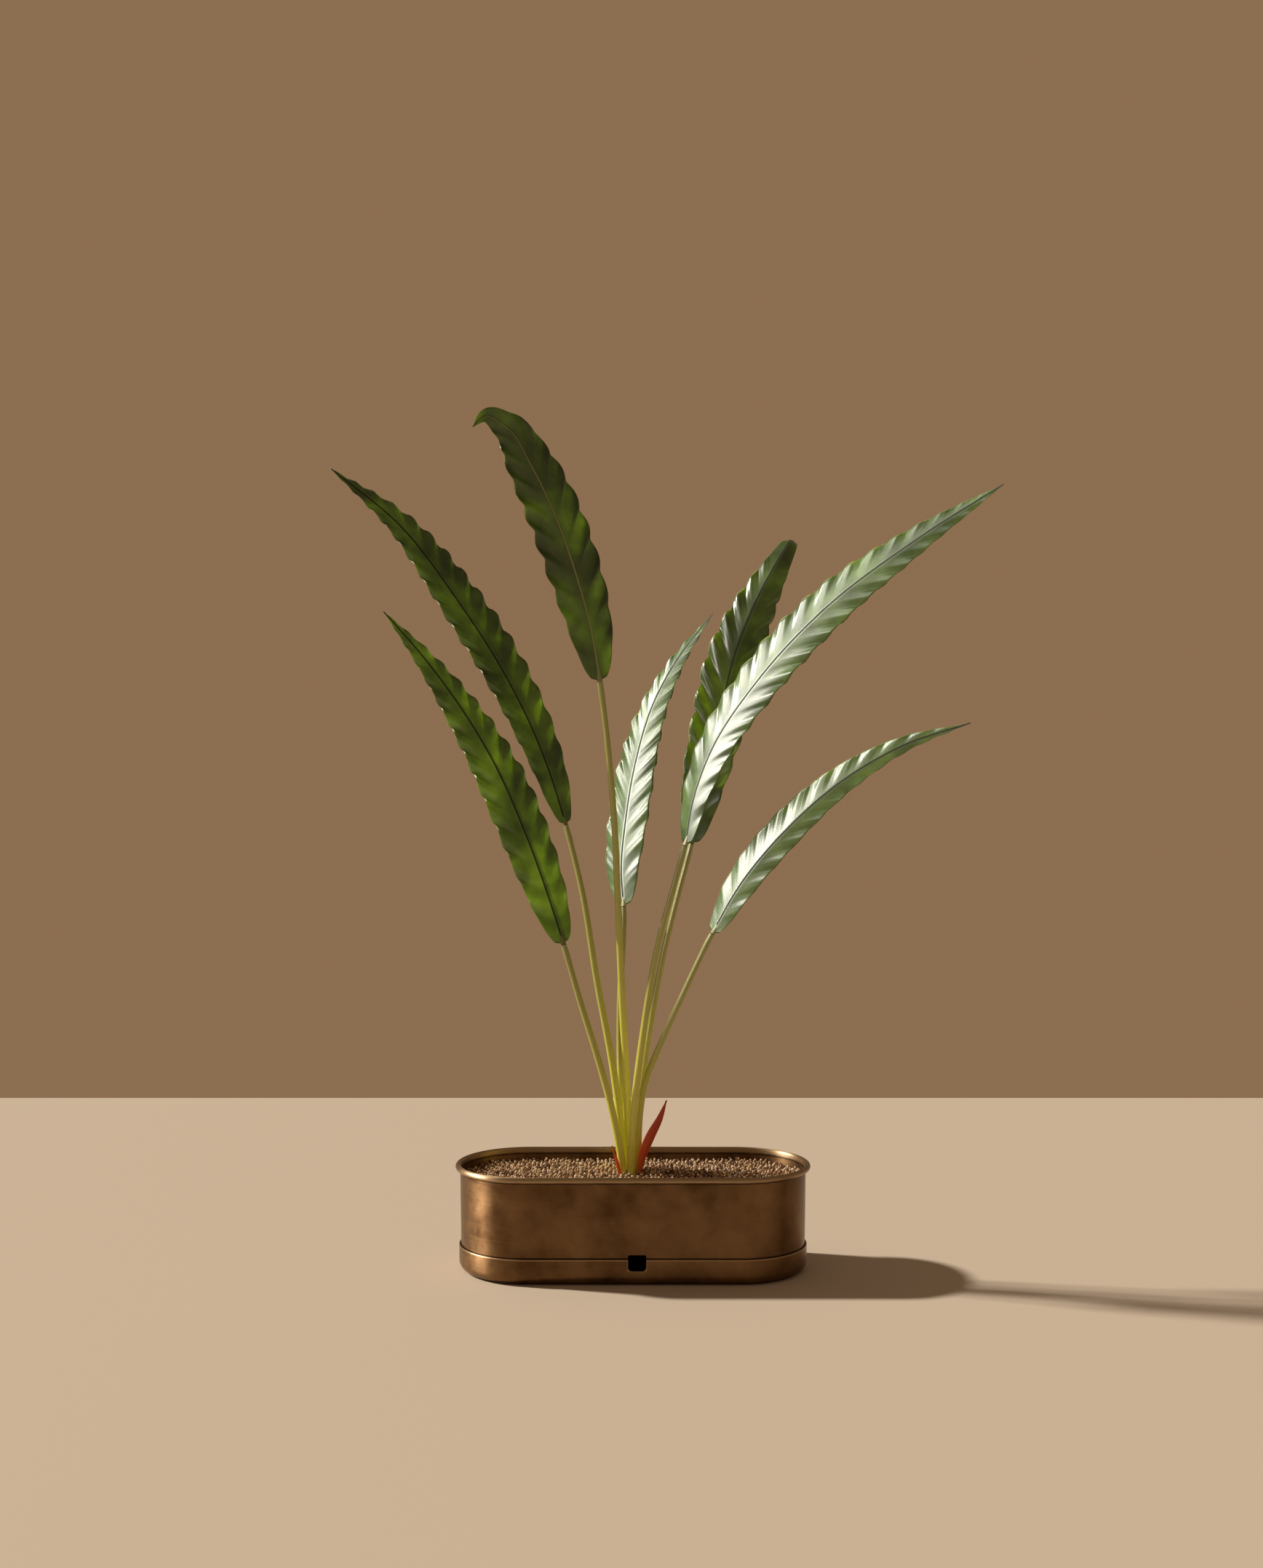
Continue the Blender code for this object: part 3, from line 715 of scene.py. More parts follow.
pores, given, leaving = new_tree(
    "pores", "ShaderNodeTree",
    {"Place": "Vector", "Colour": "Color", "Scale": "Float"},
    {"Colour": "Color", "Height": "Float"},
)
pits = clouds(given["Place"], given["Scale"], 3.0, 0.6)
shade_in = between(pits, *PIT_RANGE, *PIT_SHADE)
feed_all(leaving, {"Colour": shaded(given["Colour"], shade_in), "Height": pits})


def granular(name, tone, depth):
    """Dry, matt granular matter. tone gives, from a tree, a number from 0 dark to 1 pale."""
    material, tree, shader = new_material(name, Roughness=0.94, Specular_IOR_Level=0.25)
    outputs = use_effect(
        tree, pores,
        {"Place": object_place(tree), "Colour": spread(tone(tree), GRAIN_TONES),
         "Scale": GRAIN_PITS},
    )
    feed(shader.inputs["Base Color"], outputs["Colour"])
    bumped(shader, outputs["Height"], depth)
    return material


def bed_gap_shade(tree):
    """The bed shows only in gaps between granules, and is kept to the darkest tones as painted
    shade there.
    """
    return clouds(object_place(tree), BED_CLOUDS, 3.0) * 0.5 - 0.25


grain_finish = granular("grains", lambda tree: kept_values(tree, "tone")[0], GRAIN_BUMP)
bed_finish = granular("bed", bed_gap_shade, BED_BUMP)
print("grain tones:", len(GRAIN_TONES))

# %% Soil bed
GAP = 0.0004
SOIL_HALF_DEPTH = 0.0656
SOIL_EDGE_TOP = 0.0930
SOIL_MOUND = 0.0022
SOIL_RELIEF = 0.0012
SOIL_RELIEF_SCALE = 85.0
SOIL_RINGS = 16
SOIL_SLICE = 0.0042
HEAP_HEIGHT = 0.0020
HEAP_SCALE = 34.0
HEAP_SHIFT = Vector((3.0, 0.0, 0.0))
INNER_RING = 0.06


def soil_bed():
    """The soil's solid, with the same mound as the plain one and some low heaps."""
    shares = np.linspace(INNER_RING, 1.0, SOIL_RINGS)
    profile = [(share * SOIL_HALF_DEPTH, SOIL_EDGE_TOP) for share in shares]
    mesh = turned_oblong("soil_bed", [*profile, (SOIL_HALF_DEPTH, POT_FLOOR_TOP + GAP)])
    half_length = HALF_STRAIGHT + SOIL_HALF_DEPTH
    with editing(mesh) as bm:
        for slice_x in np.arange(-HALF_STRAIGHT, HALF_STRAIGHT + SOIL_SLICE / 2, SOIL_SLICE):
            geometry = [*bm.verts, *bm.edges, *bm.faces]
            bmesh.ops.bisect_plane(bm, geom=geometry, plane_co=(slice_x, 0, 0), plane_no=(1, 0, 0))
        for vert in bm.verts:
            if vert.co.z < SOIL_EDGE_TOP - WALL:
                continue
            out = min(1.0, math.hypot(vert.co.x / half_length, vert.co.y / SOIL_HALF_DEPTH))
            uneven = noise.noise(vert.co * SOIL_RELIEF_SCALE)
            heap = noise.noise(vert.co * HEAP_SCALE + HEAP_SHIFT)
            vert.co.z += SOIL_MOUND * (1 - out**2) + SOIL_RELIEF * uneven + HEAP_HEIGHT * heap
    return coated(mesh, bed_finish)


bed_mesh = soil_bed()
finished("soil_bed", bed_mesh, "soil_grains", "soil")

# %% Granules
FACING_UP = 0.6
MOST_PER_SQUARE_METRE = 400000.0
NARROWEST = (0.8, 0.8, 0.7)
WIDEST = (1.15, 1.1, 1.0)

scatter, size, ending = new_recipe(
    "scattered granules", ("Spacing", "Smallest", "Largest", "Sunk"), Seed="Int"
)


def random_value(low, high, shift, kind="FLOAT"):
    """A random number or vector for each granule. The shift keeps one draw apart from another."""
    inputs = {"Min": low, "Max": high, "Seed": size["Seed"] + shift}
    return result(scatter, "FunctionNodeRandomValue", inputs, data_type=kind)


normal_up = parts_of(result(scatter, "GeometryNodeInputNormal"))[2]
spots = result(
    scatter, "GeometryNodeDistributePointsOnFaces",
    {"Mesh": size["Mesh"], "Selection": is_over(normal_up, FACING_UP), "Seed": size["Seed"],
     "Distance Min": size["Spacing"], "Density Max": MOST_PER_SQUARE_METRE},
    distribute_method="POISSON",
)
stone = result(scatter, "GeometryNodeMeshIcoSphere", {"Radius": 0.5, "Subdivisions": 1})
girth = random_value(size["Smallest"], size["Largest"], 1)
stretch = random_value(NARROWEST, WIDEST, 2, "FLOAT_VECTOR")
turn = random_value((0.0,) * 3, (math.tau,) * 3, 3, "FLOAT_VECTOR")
lowered = result(
    scatter, "GeometryNodeSetPosition",
    {"Geometry": spots, "Offset": vector(z=girth * size["Sunk"])},
)
stones = result(
    scatter, "GeometryNodeInstanceOnPoints",
    {"Points": lowered, "Instance": stone, "Rotation": turn, "Scale": scaled(stretch, girth)},
)
toned = keep(stones, domain="INSTANCE", tone=random_value(0.0, 1.0, 4))
end_recipe(ending, toned, size["Finish"])

# Two scatterings lie over each other, so that the top layer looks heaped and leaves no bare bed.
LAYERS = {
    "lower": {"Spacing": 0.0029, "Smallest": 0.0027, "Largest": 0.0034, "Sunk": 0.0, "Seed": 11},
    "upper": {"Spacing": 0.0052, "Smallest": 0.0028, "Largest": 0.0036, "Sunk": 0.70, "Seed": 29},
}
for layer, values in LAYERS.items():
    grains = cook(f"grains_{layer}", bed_mesh, scatter, {**values, "Finish": grain_finish})
    finished(f"grains_{layer}", grains, "soil_grains")

# %% [markdown]
# ## Leaves
# Each leaf follows one smooth line, from the soil up its stem and on along the midrib to the tip.
# The line is drawn through a few given points, and the blade is a rule laid along it: a
# width that swells and narrows, waves that lean towards the tip and grow towards the margin, and
# a scalloped edge. That rule is the same for all seven, so it is one Geometry Nodes recipe, and
# each leaf gives it other numbers.

# %% Sizes of the leaves
ROOT_DEPTH = 0.034
LINE_STEPS = 16
TANGENT_REACH = 0.002
STEM_RADIUS_FOOT = 0.0042
STEM_RADIUS_NECK = 0.0028
NECK_HALF_WIDTH = 0.0028
TIP_HALF_WIDTH = 0.0007
FOOT_ROUNDNESS = 0.42
WAVE_LENGTH = 0.029
WAVE_SWELL = 0.6
WAVE_CURVE = 2.0
WAVE_STAGGER = 0.4
PLEAT_RUN = 1.4
SCALLOP_SHIFT = 1.2
CALM_RUN = 0.12

# stem: from the soil to the neck; blade: on from there to the tip. face and tip_face point out of
# the upper side of the blade, where it starts and where it ends. The gutter, also for the start
# and the end, lifts both margins towards the upper side where it is over 0. tone makes a leaf paler
# than the others, and is partly painted light: leaves 4, 5 and 7, whose gloss faces the lamps, are
# the palest, and the shaded leaves 2 and 3 the darkest. The names with capitals are inputs of the
# blade's recipe. Wider Half is how much wider the half on the +side is. Wave Height is how far the
# waves rise at the margin, and Scallop the share by which they widen the blade. They fade out past
# Calm From, where a blade curls over. Folds is the height of the finer pleats between them.
LEAVES = {
    "leaf_1": {
        "stem": [(-0.011, -0.004, 0.100), (-0.021, -0.004, 0.159), (-0.037, -0.004, 0.218),
                 (-0.052, -0.004, 0.266), (-0.070, -0.004, 0.328)],
        "blade": [(-0.087, 0.002, 0.380), (-0.111, 0.010, 0.444), (-0.142, 0.018, 0.512),
                  (-0.176, 0.024, 0.568), (-0.214, 0.030, 0.619), (-0.257, 0.036, 0.668)],
        "Half Width": 0.0258, "Widest At": 0.38, "Fullness": 1.7, "Wider Half": 0.0,
        "face": (0.25, -0.90, 0.20), "tip_face": (0.25, -0.85, 0.35),
        "gutter_degrees": (-8, -8), "Phase": 0.3, "Wave Height": 0.0038, "Scallop": 0.055,
        "Calm From": 1.0, "Folds": 0.00022, "tone": 0.3,
    },
    "leaf_2": {
        "stem": [(-0.009, 0.0055, 0.098), (-0.019, 0.009, 0.192), (-0.037, 0.015, 0.290),
                 (-0.053, 0.020, 0.385), (-0.069, 0.025, 0.448)],
        "blade": [(-0.097, 0.040, 0.530), (-0.137, 0.056, 0.610), (-0.182, 0.070, 0.679),
                  (-0.248, 0.088, 0.764), (-0.322, 0.100, 0.825)],
        "Half Width": 0.0241, "Widest At": 0.48, "Fullness": 1.75, "Wider Half": 0.03,
        "face": (0.25, -0.93, 0.20), "tip_face": (0.35, -0.88, 0.30),
        "gutter_degrees": (10, 10), "Phase": 1.9, "Wave Height": 0.0038, "Scallop": 0.055,
        "Calm From": 1.0, "Folds": 0.00028, "tone": 0.0,
    },
    "leaf_3": {
        "stem": [(-0.005, 0.0140, 0.097), (-0.006, 0.0100, 0.172), (-0.011, 0.002, 0.272),
                 (-0.0147, -0.005, 0.361), (-0.020, -0.014, 0.470), (-0.033, -0.025, 0.593)],
        "blade": [(-0.042, -0.035, 0.646), (-0.058, -0.046, 0.704), (-0.078, -0.058, 0.759),
                  (-0.098, -0.067, 0.800), (-0.123, -0.077, 0.838), (-0.142, -0.084, 0.847),
                  (-0.154, -0.091, 0.835)],
        "Half Width": 0.0262, "Widest At": 0.44, "Fullness": 3.0, "Wider Half": 0.0,
        "face": (-0.10, 0.97, 0.20), "tip_face": (-0.35, 0.70, 0.60),
        "gutter_degrees": (8, 8), "Phase": 0.9, "Wave Height": 0.0034, "Scallop": 0.085,
        "Calm From": 0.84, "Folds": 0.00020, "tone": -0.15,
    },
    "leaf_4": {
        "stem": [(-0.006, 0.0225, 0.097), (-0.0125, 0.026, 0.184), (-0.0135, 0.030, 0.258),
                 (-0.0098, 0.036, 0.363)],
        "blade": [(-0.0122, 0.044, 0.402), (-0.0078, 0.055, 0.451), (0.003, 0.070, 0.514),
                  (0.021, 0.084, 0.573), (0.046, 0.096, 0.620), (0.086, 0.110, 0.672)],
        "Half Width": 0.0232, "Widest At": 0.34, "Fullness": 1.6, "Wider Half": 0.0,
        "face": (-0.36, -0.90, 0.28), "tip_face": (-0.45, -0.75, 0.50),
        "gutter_degrees": (-12, -12), "Phase": 2.6, "Wave Height": 0.0021, "Scallop": 0.040,
        "Calm From": 1.0, "Folds": 0.00035, "tone": 0.65,
    },
    "leaf_5": {
        "stem": [(-0.002, -0.0045, 0.097), (0.0015, -0.006, 0.165), (0.011, -0.008, 0.244),
                 (0.024, -0.010, 0.323), (0.042, -0.013, 0.392), (0.052, -0.015, 0.429)],
        "blade": [(0.060, -0.017, 0.474), (0.078, -0.019, 0.524), (0.124, -0.022, 0.594),
                  (0.189, -0.025, 0.664), (0.283, -0.028, 0.735), (0.368, -0.030, 0.789)],
        "Half Width": 0.0249, "Widest At": 0.46, "Fullness": 1.75, "Wider Half": -0.06,
        "face": (-0.60, -0.74, 0.30), "tip_face": (-0.12, -0.97, 0.15),
        "gutter_degrees": (-12, -12), "Phase": 0.0, "Wave Height": 0.0026, "Scallop": 0.035,
        "Calm From": 1.0, "Folds": 0.00024, "tone": 0.45,
    },
    "leaf_6": {
        "stem": [(0.004, 0.0165, 0.097), (0.010, 0.019, 0.190), (0.019, 0.022, 0.250),
                 (0.032, 0.026, 0.319), (0.046, 0.031, 0.375), (0.060, 0.036, 0.428)],
        "blade": [(0.072, 0.044, 0.489), (0.087, 0.053, 0.548), (0.109, 0.068, 0.631),
                  (0.129, 0.081, 0.680), (0.156, 0.098, 0.730), (0.169, 0.112, 0.750),
                  (0.173, 0.130, 0.750), (0.168, 0.150, 0.732)],
        "Half Width": 0.0280, "Widest At": 0.45, "Fullness": 1.75, "Wider Half": 0.0,
        "face": (0.10, -0.95, 0.10), "tip_face": (0.20, -0.30, 0.90),
        "gutter_degrees": (14, -30), "Phase": 1.2, "Wave Height": 0.0030, "Scallop": 0.085,
        "Calm From": 0.7, "Folds": 0.00035, "tone": 0.2,
    },
    "leaf_7": {
        "stem": [(0.0045, 0.0045, 0.099), (0.0125, 0.004, 0.187), (0.0296, 0.002, 0.230),
                 (0.052, 0.000, 0.280), (0.080, -0.003, 0.339)],
        "blade": [(0.110, -0.009, 0.392), (0.154, -0.016, 0.445), (0.205, -0.023, 0.491),
                  (0.270, -0.030, 0.530), (0.335, -0.036, 0.552)],
        "Half Width": 0.0186, "Widest At": 0.32, "Fullness": 1.7, "Wider Half": -0.08,
        "face": (-0.34, -0.86, 0.38), "tip_face": (0.22, -0.95, -0.30),
        "gutter_degrees": (-14, -14), "Phase": 2.2, "Wave Height": 0.0021, "Scallop": 0.035,
        "Calm From": 1.0, "Folds": 0.00024, "tone": 0.6,
    },
}
print("leaves:", len(LEAVES))


# %% Lines through points
def smooth_line(points):
    """A line through the points, cubic between each two, as an array of close points."""
    points = np.array(points)
    spans = np.linalg.norm(np.diff(points, axis=0), axis=1)[:, None]
    slopes = np.diff(points, axis=0) / spans
    inner = (slopes[:-1] * spans[1:] + slopes[1:] * spans[:-1]) / (spans[:-1] + spans[1:])
    tangents = np.vstack([slopes[:1], inner, slopes[-1:]])
    line = [points[:1]]
    for i, span in enumerate(spans[:, 0]):
        t = np.linspace(0, 1, LINE_STEPS + 1)[1:, None]
        line.append(
            (2 * t**3 - 3 * t**2 + 1) * points[i]
            + (t**3 - 2 * t**2 + t) * span * tangents[i]
            + (3 * t**2 - 2 * t**3) * points[i + 1]
            + (t**3 - t**2) * span * tangents[i + 1]
        )
    return np.vstack(line)


class Line:
    """A smooth line, read by distance along it."""

    def __init__(self, points):
        self.points = smooth_line(points)
        steps = np.linalg.norm(np.diff(self.points, axis=0), axis=1)
        self.distances = np.concatenate([[0.0], np.cumsum(steps)])
        self.length = self.distances[-1]

    def at(self, distance):
        return Vector([np.interp(distance, self.distances, self.points[:, i]) for i in range(3)])

    def distance_of(self, point):
        return self.distances[np.argmin(np.linalg.norm(self.points - np.array(point), axis=1))]

    def frame(self, distance, face):
        """(point, direction to the side, direction out of the face) at a distance."""
        ahead = self.at(min(distance + TANGENT_REACH, self.length))
        behind = self.at(max(distance - TANGENT_REACH, 0.0))
        tangent = (ahead - behind).normalized()
        normal = (face - tangent * face.dot(tangent)).normalized()
        return self.at(distance), tangent.cross(normal), normal


def leaf_line(leaf):
    foot = Vector(leaf["stem"][0])
    root = foot - Vector((0, 0, foot.z - SOIL_EDGE_TOP + ROOT_DEPTH))
    return Line([root[:], *leaf["stem"], *leaf["blade"]])


LEAF_LINES = {name: leaf_line(leaf) for name, leaf in LEAVES.items()}
for name, line in LEAF_LINES.items():
    print(name, "line:", round(line.length, 3), "m")

# %% [markdown]
# ## The blade's recipe
# A flat grid is the cloth that a blade is cut from. Its first direction is the place along the
# midrib, and its second the share of the way from the midrib to the margin. The recipe reads the
# midrib at each grid point and moves the point out from it. A row leans towards the tip as it
# leaves the midrib, so each fold runs slantwise, as side veins do. Two copies of the sheet, a
# hair apart and welded at the margin, make a closed blade, and a tapered rib joins its underside.

# %% Blade recipe
ROWS = 340
COLUMNS = 32
CROWDING = 1.35
BLADE_THICKNESS = 0.0006
GROOVE_DEPTH = 0.0006
GROOVE_REACH = 0.0013
FOLDS_PER_WAVE = 3.1
RIPPLE_HEIGHT = 0.00003
RIPPLES_PER_WAVE = 7.3
WANDER = 1.3
WANDER_PACE = 0.6
DRIFT_PACE = 1.7
SIDES_APART = (3.0, 5.0)
DRIFT_SEED = 9
WAVE_SPREAD = 1.2
SHARPNESS = 0.06
SHARPNESS_PHASE = 0.9
NOTCH_SOFTNESS = 0.03
SLOWING_RUN = 0.25
FOLD_DRIFT = 5
FOLD_SPREAD = 1.4
FOLD_CURVE = 1.6
RIPPLE_DRIFT = 9
RIPPLE_CURVE = 0.5
GROOVE_CURVE = 1.5
MARGIN_FULLNESS = 6
END_TAPER = 60

blade, size, ending = new_recipe(
    "waved blade",
    ("Length", "Half Width", "Widest At", "Fullness", "Wider Half", "Gutter Start", "Gutter End",
     "Phase", "Wave Height", "Scallop", "Calm From", "Folds", "Seed"),
    Rows="Int", Columns="Int",
)
midrib = result(blade, "GeometryNodeMeshToCurve", {0: size["Mesh"]})
cloth = result(
    blade, "GeometryNodeMeshGrid",
    {"Size X": 1.0, "Size Y": 2.0, "Vertices X": size["Rows"], "Vertices Y": size["Columns"]},
)
position = result(blade, "GeometryNodeInputPosition")
grid_x, grid_y = parts_of(position)[:2]
crowded = hand_of(grid_y) * abs(grid_y) ** CROWDING
cloth = keep(cloth, row=grid_x + 0.5, side=crowded)
row, side = read(blade, "row"), read(blade, "side")
out_share, hand = abs(side), hand_of(side)


def half_width_at(t):
    """Half the blade's width at t of its length: a round foot, then a long narrowing tip."""
    opening = (1 - (1 - smaller(t / size["Widest At"], 1.0)) ** 2) ** FOOT_ROUNDNESS
    past = larger(t - size["Widest At"], 0.0) / (1 - size["Widest At"])
    narrowest = t * (TIP_HALF_WIDTH - NECK_HALF_WIDTH) + NECK_HALF_WIDTH
    return larger(size["Half Width"] * opening * (1 - past ** size["Fullness"]), narrowest)


def at_midrib(value, t):
    """A direction kept on the midrib, or its place, read at t of its length."""
    inputs = {"Curves": midrib, "Value": value, "Factor": t}
    return result(blade, "GeometryNodeSampleCurve", inputs, data_type="FLOAT_VECTOR",
                  mode="FACTOR")


def strayed(pace, apart, seed):
    """Slow noise round 0 along the blade, with its own course on each side of the midrib."""
    where = vector(turns * pace, hand * apart, seed)
    return clouds(where, 1.0, 1.0) - 0.5


slowing = sine(smaller((1 - row) / SLOWING_RUN, 0.5) * math.pi)
lean = half_width_at(row) * out_share * slowing * PLEAT_RUN
t = smaller(row + lean / size["Length"], 1.0)
calm = larger(smaller((t - size["Calm From"]) / CALM_RUN, 1.0), 0.0)
swell = larger(sine(t * math.pi), 0.0) * (1 - calm)
rise = swell**WAVE_SWELL
turns = row * size["Length"] / WAVE_LENGTH
wander = strayed(WANDER_PACE, SIDES_APART[0], size["Seed"])
drift = strayed(DRIFT_PACE, SIDES_APART[1], size["Seed"] + DRIFT_SEED)

angle = turns * math.tau + size["Phase"] + hand * WAVE_STAGGER + wander * WANDER
bulge = (sine((angle + SCALLOP_SHIFT + math.pi / 2) / 2) ** 2 + NOTCH_SOFTNESS) ** 0.5
scallop = (bulge * 2 - 1) * swell * size["Scallop"] + 1
reach = half_width_at(t) * (size["Wider Half"] * hand + 1) * out_share * scallop
wave = sine(angle) + sine(angle * 2 + SHARPNESS_PHASE) * SHARPNESS
wave = wave * (wander * WAVE_SPREAD + 1) * rise * out_share**WAVE_CURVE * size["Wave Height"]
fold = sine(turns * math.tau * FOLDS_PER_WAVE + drift * FOLD_DRIFT + size["Phase"])
fold = fold * (drift * FOLD_SPREAD + 1) * rise * out_share**FOLD_CURVE * size["Folds"]
ripple = sine(turns * math.tau * RIPPLES_PER_WAVE + drift * RIPPLE_DRIFT)
ripple = ripple * swell * out_share**RIPPLE_CURVE * RIPPLE_HEIGHT
groove = larger(1 - reach / GROOVE_REACH, 0.0) ** GROOVE_CURVE * GROOVE_DEPTH
gutter = size["Gutter Start"] + (size["Gutter End"] - size["Gutter Start"]) * t
lift = reach * sine(gutter) + wave + fold + ripple - groove
flat_reach = reach * hand * cosine(gutter)

across_way = at_midrib(read(blade, "across", "FLOAT_VECTOR"), t)
out_way = at_midrib(read(blade, "out", "FLOAT_VECTOR"), t)
spot = added(at_midrib(position, t), scaled(across_way, flat_reach))
margin_taper = (1 - out_share**MARGIN_FULLNESS) ** 0.5
end_taper = smaller(smaller(row, 1 - row) * END_TAPER, 1.0)
half_thick = margin_taper * end_taper * (BLADE_THICKNESS / 2)

cloth = keep(cloth, reach=reach, vein=row * size["Length"])
faces = []
for under in (0.0, 1.0):
    height = lift + half_thick * (1 - 2 * under)
    moved = result(
        blade, "GeometryNodeSetPosition",
        {"Geometry": cloth, "Position": added(spot, scaled(out_way, height))},
    )
    faces.append(keep(moved, under=under))
turned_over = result(blade, "GeometryNodeFlipFaces", {0: faces[1]})
sheet = joined(faces[0], turned_over)
welded = result(blade, "GeometryNodeMergeByDistance", {0: sheet, "Distance": WELD})
print("blade recipe:", len(blade.nodes), "nodes")

# %% Rib of the blade
RIB_SIDES = 12
RIB_SINK_RUN = 0.012
RIB_THINNING_RUN = 0.022
RIB_RADIUS = 0.0013
RIB_TIP_RADIUS = 0.00022
RIB_NARROWING = 0.8
SINK_INTO_GROOVE = 0.8

# The rib starts as wide as the stem, sinks to the blade's underside and thins out to the tip.
along = result(blade, "GeometryNodeSplineParameter")
from_neck = along * size["Length"]
shoulder = larger(1 - from_neck / RIB_THINNING_RUN, 0.0) ** 2 * (STEM_RADIUS_NECK - RIB_RADIUS)
rib_radius = (1 - along) ** RIB_NARROWING * (RIB_RADIUS - RIB_TIP_RADIUS) + RIB_TIP_RADIUS
rib_radius = rib_radius + shoulder
sink = (rib_radius + GROOVE_DEPTH * SINK_INTO_GROOVE) * smaller(from_neck / RIB_SINK_RUN, 1.0) * -1
rib_line = keep(midrib, row=along, vein=from_neck, rib=1.0, under=1.0)
sunk = result(
    blade, "GeometryNodeSetPosition",
    {"Geometry": rib_line, "Offset": scaled(read(blade, "out", "FLOAT_VECTOR"), sink)},
)
whole = joined(welded, tube(sunk, RIB_SIDES, rib_radius))
end_recipe(ending, whole, size["Finish"])
print("blade recipe with its rib:", len(blade.nodes), "nodes")

# %% [markdown]
# ## The stem's recipe
# A stem is a round tube that thins from its foot to the neck, with a slight swelling where the
# blade joins it. A curve turned into a mesh with a ring for its section follows any line, and its
# radius is a sum of where the point is along it.

# %% Stem recipe
STEM_SIDES = 20
STEM_STEPS = 90
NECK_SWELLING = 0.10
NECK_RUN = 0.022

stalk, size, ending = new_recipe("tapered stem", ("Length", "Foot", "Neck"))
line_in = result(stalk, "GeometryNodeMeshToCurve", {0: size["Mesh"]})
along = result(stalk, "GeometryNodeSplineParameter")
to_neck = (1 - along) * size["Length"] / NECK_RUN
swelling = sine(smaller(to_neck, 1.0) * math.pi) * NECK_SWELLING + 1
stem_radius = (size["Foot"] + (size["Neck"] - size["Foot"]) * along) * swelling
line_kept = keep(line_in, along=along, to_neck=to_neck)
end_recipe(ending, tube(line_kept, STEM_SIDES, stem_radius), size["Finish"])
print("stem recipe:", len(stalk.nodes), "nodes")

# %% [markdown]
# ## Leaf and stem materials
# A living leaf is not opaque: light that falls on its back glows through it yellow-green. So a
# Translucent shader is added to the glossy one. Light passes two sheets of it on its way through
# the closed blade, so its colour counts twice. The upper side is deep green with a satin gloss
# and a dark line of painted shade in the midrib's groove, and the underside is paler with a pale
# rib. Side veins follow the folds, so they are drawn on the value kept for each row.

# %% Fibre effect
STRAND_RANGE = (0.35, 0.62)

fibres, given, leaving = new_tree(
    "fibres", "ShaderNodeTree",
    {"Along": "Float", "Across": "Vector", "Colour": "Color", "Deep": "Color", "Amount": "Float"},
    {"Colour": "Color", "Height": "Float"},
)
cross_x, cross_y, cross_z = parts_of(given["Across"])
fibre_place = vector(cross_x, cross_y, cross_z + given["Along"])
strands = clouds(fibre_place, 1.0, 3.0, 0.6)
darker = between(strands, *STRAND_RANGE, 1.0, 0.0) * given["Amount"]
striped = blended(darker, given["Colour"], given["Deep"])
feed_all(leaving, {"Colour": striped, "Height": strands})
print("fibres:", len(fibres.nodes), "nodes")

# %% Leaf material
UPPER_TONES = [
    (0.25, 0.012, 0.026, 0.003), (0.52, 0.036, 0.072, 0.014), (0.76, 0.100, 0.170, 0.050)]
UNDER_TONES = [
    (0.25, 0.014, 0.022, 0.003), (0.60, 0.036, 0.052, 0.010), (0.90, 0.070, 0.100, 0.020)]
GLOW_TONES = [
    (0.30, 0.08, 0.11, 0.006), (0.55, 0.20, 0.27, 0.016), (0.80, 0.36, 0.48, 0.040)]
VEIN_COLOUR = (0.16, 0.24, 0.06, 1.0)
EDGE_COLOUR = (0.34, 0.30, 0.12, 1.0)
PALE_LINE_COLOUR = (0.20, 0.26, 0.08, 1.0)
GROOVE_SHADE_COLOUR = (0.008, 0.015, 0.004, 1.0)
RIB_COLOUR = (0.20, 0.21, 0.06, 1.0)
RIB_GLOW = (0.03, 0.03, 0.005, 1.0)
VEIN_SPACING = 0.0021
VEINS_SHOW = 0.12
VEIN_BUMP = 0.00003
EDGE_RANGE = (0.965, 0.995)
EDGE_SHOWS = 0.7
PALE_LINE_AT = 0.0018
PALE_LINE_RANGE = (0.0002, 0.0007)
PALE_LINE_SHOWS = 0.2
GROOVE_SHADE_RANGE = (0.0007, 0.0012)
GROOVE_SHADE_SHOWS = 0.95
PATCH_RANGE = (0.3, 0.7)
GLOSS = (0.30, 0.38)
COAT = 0.4


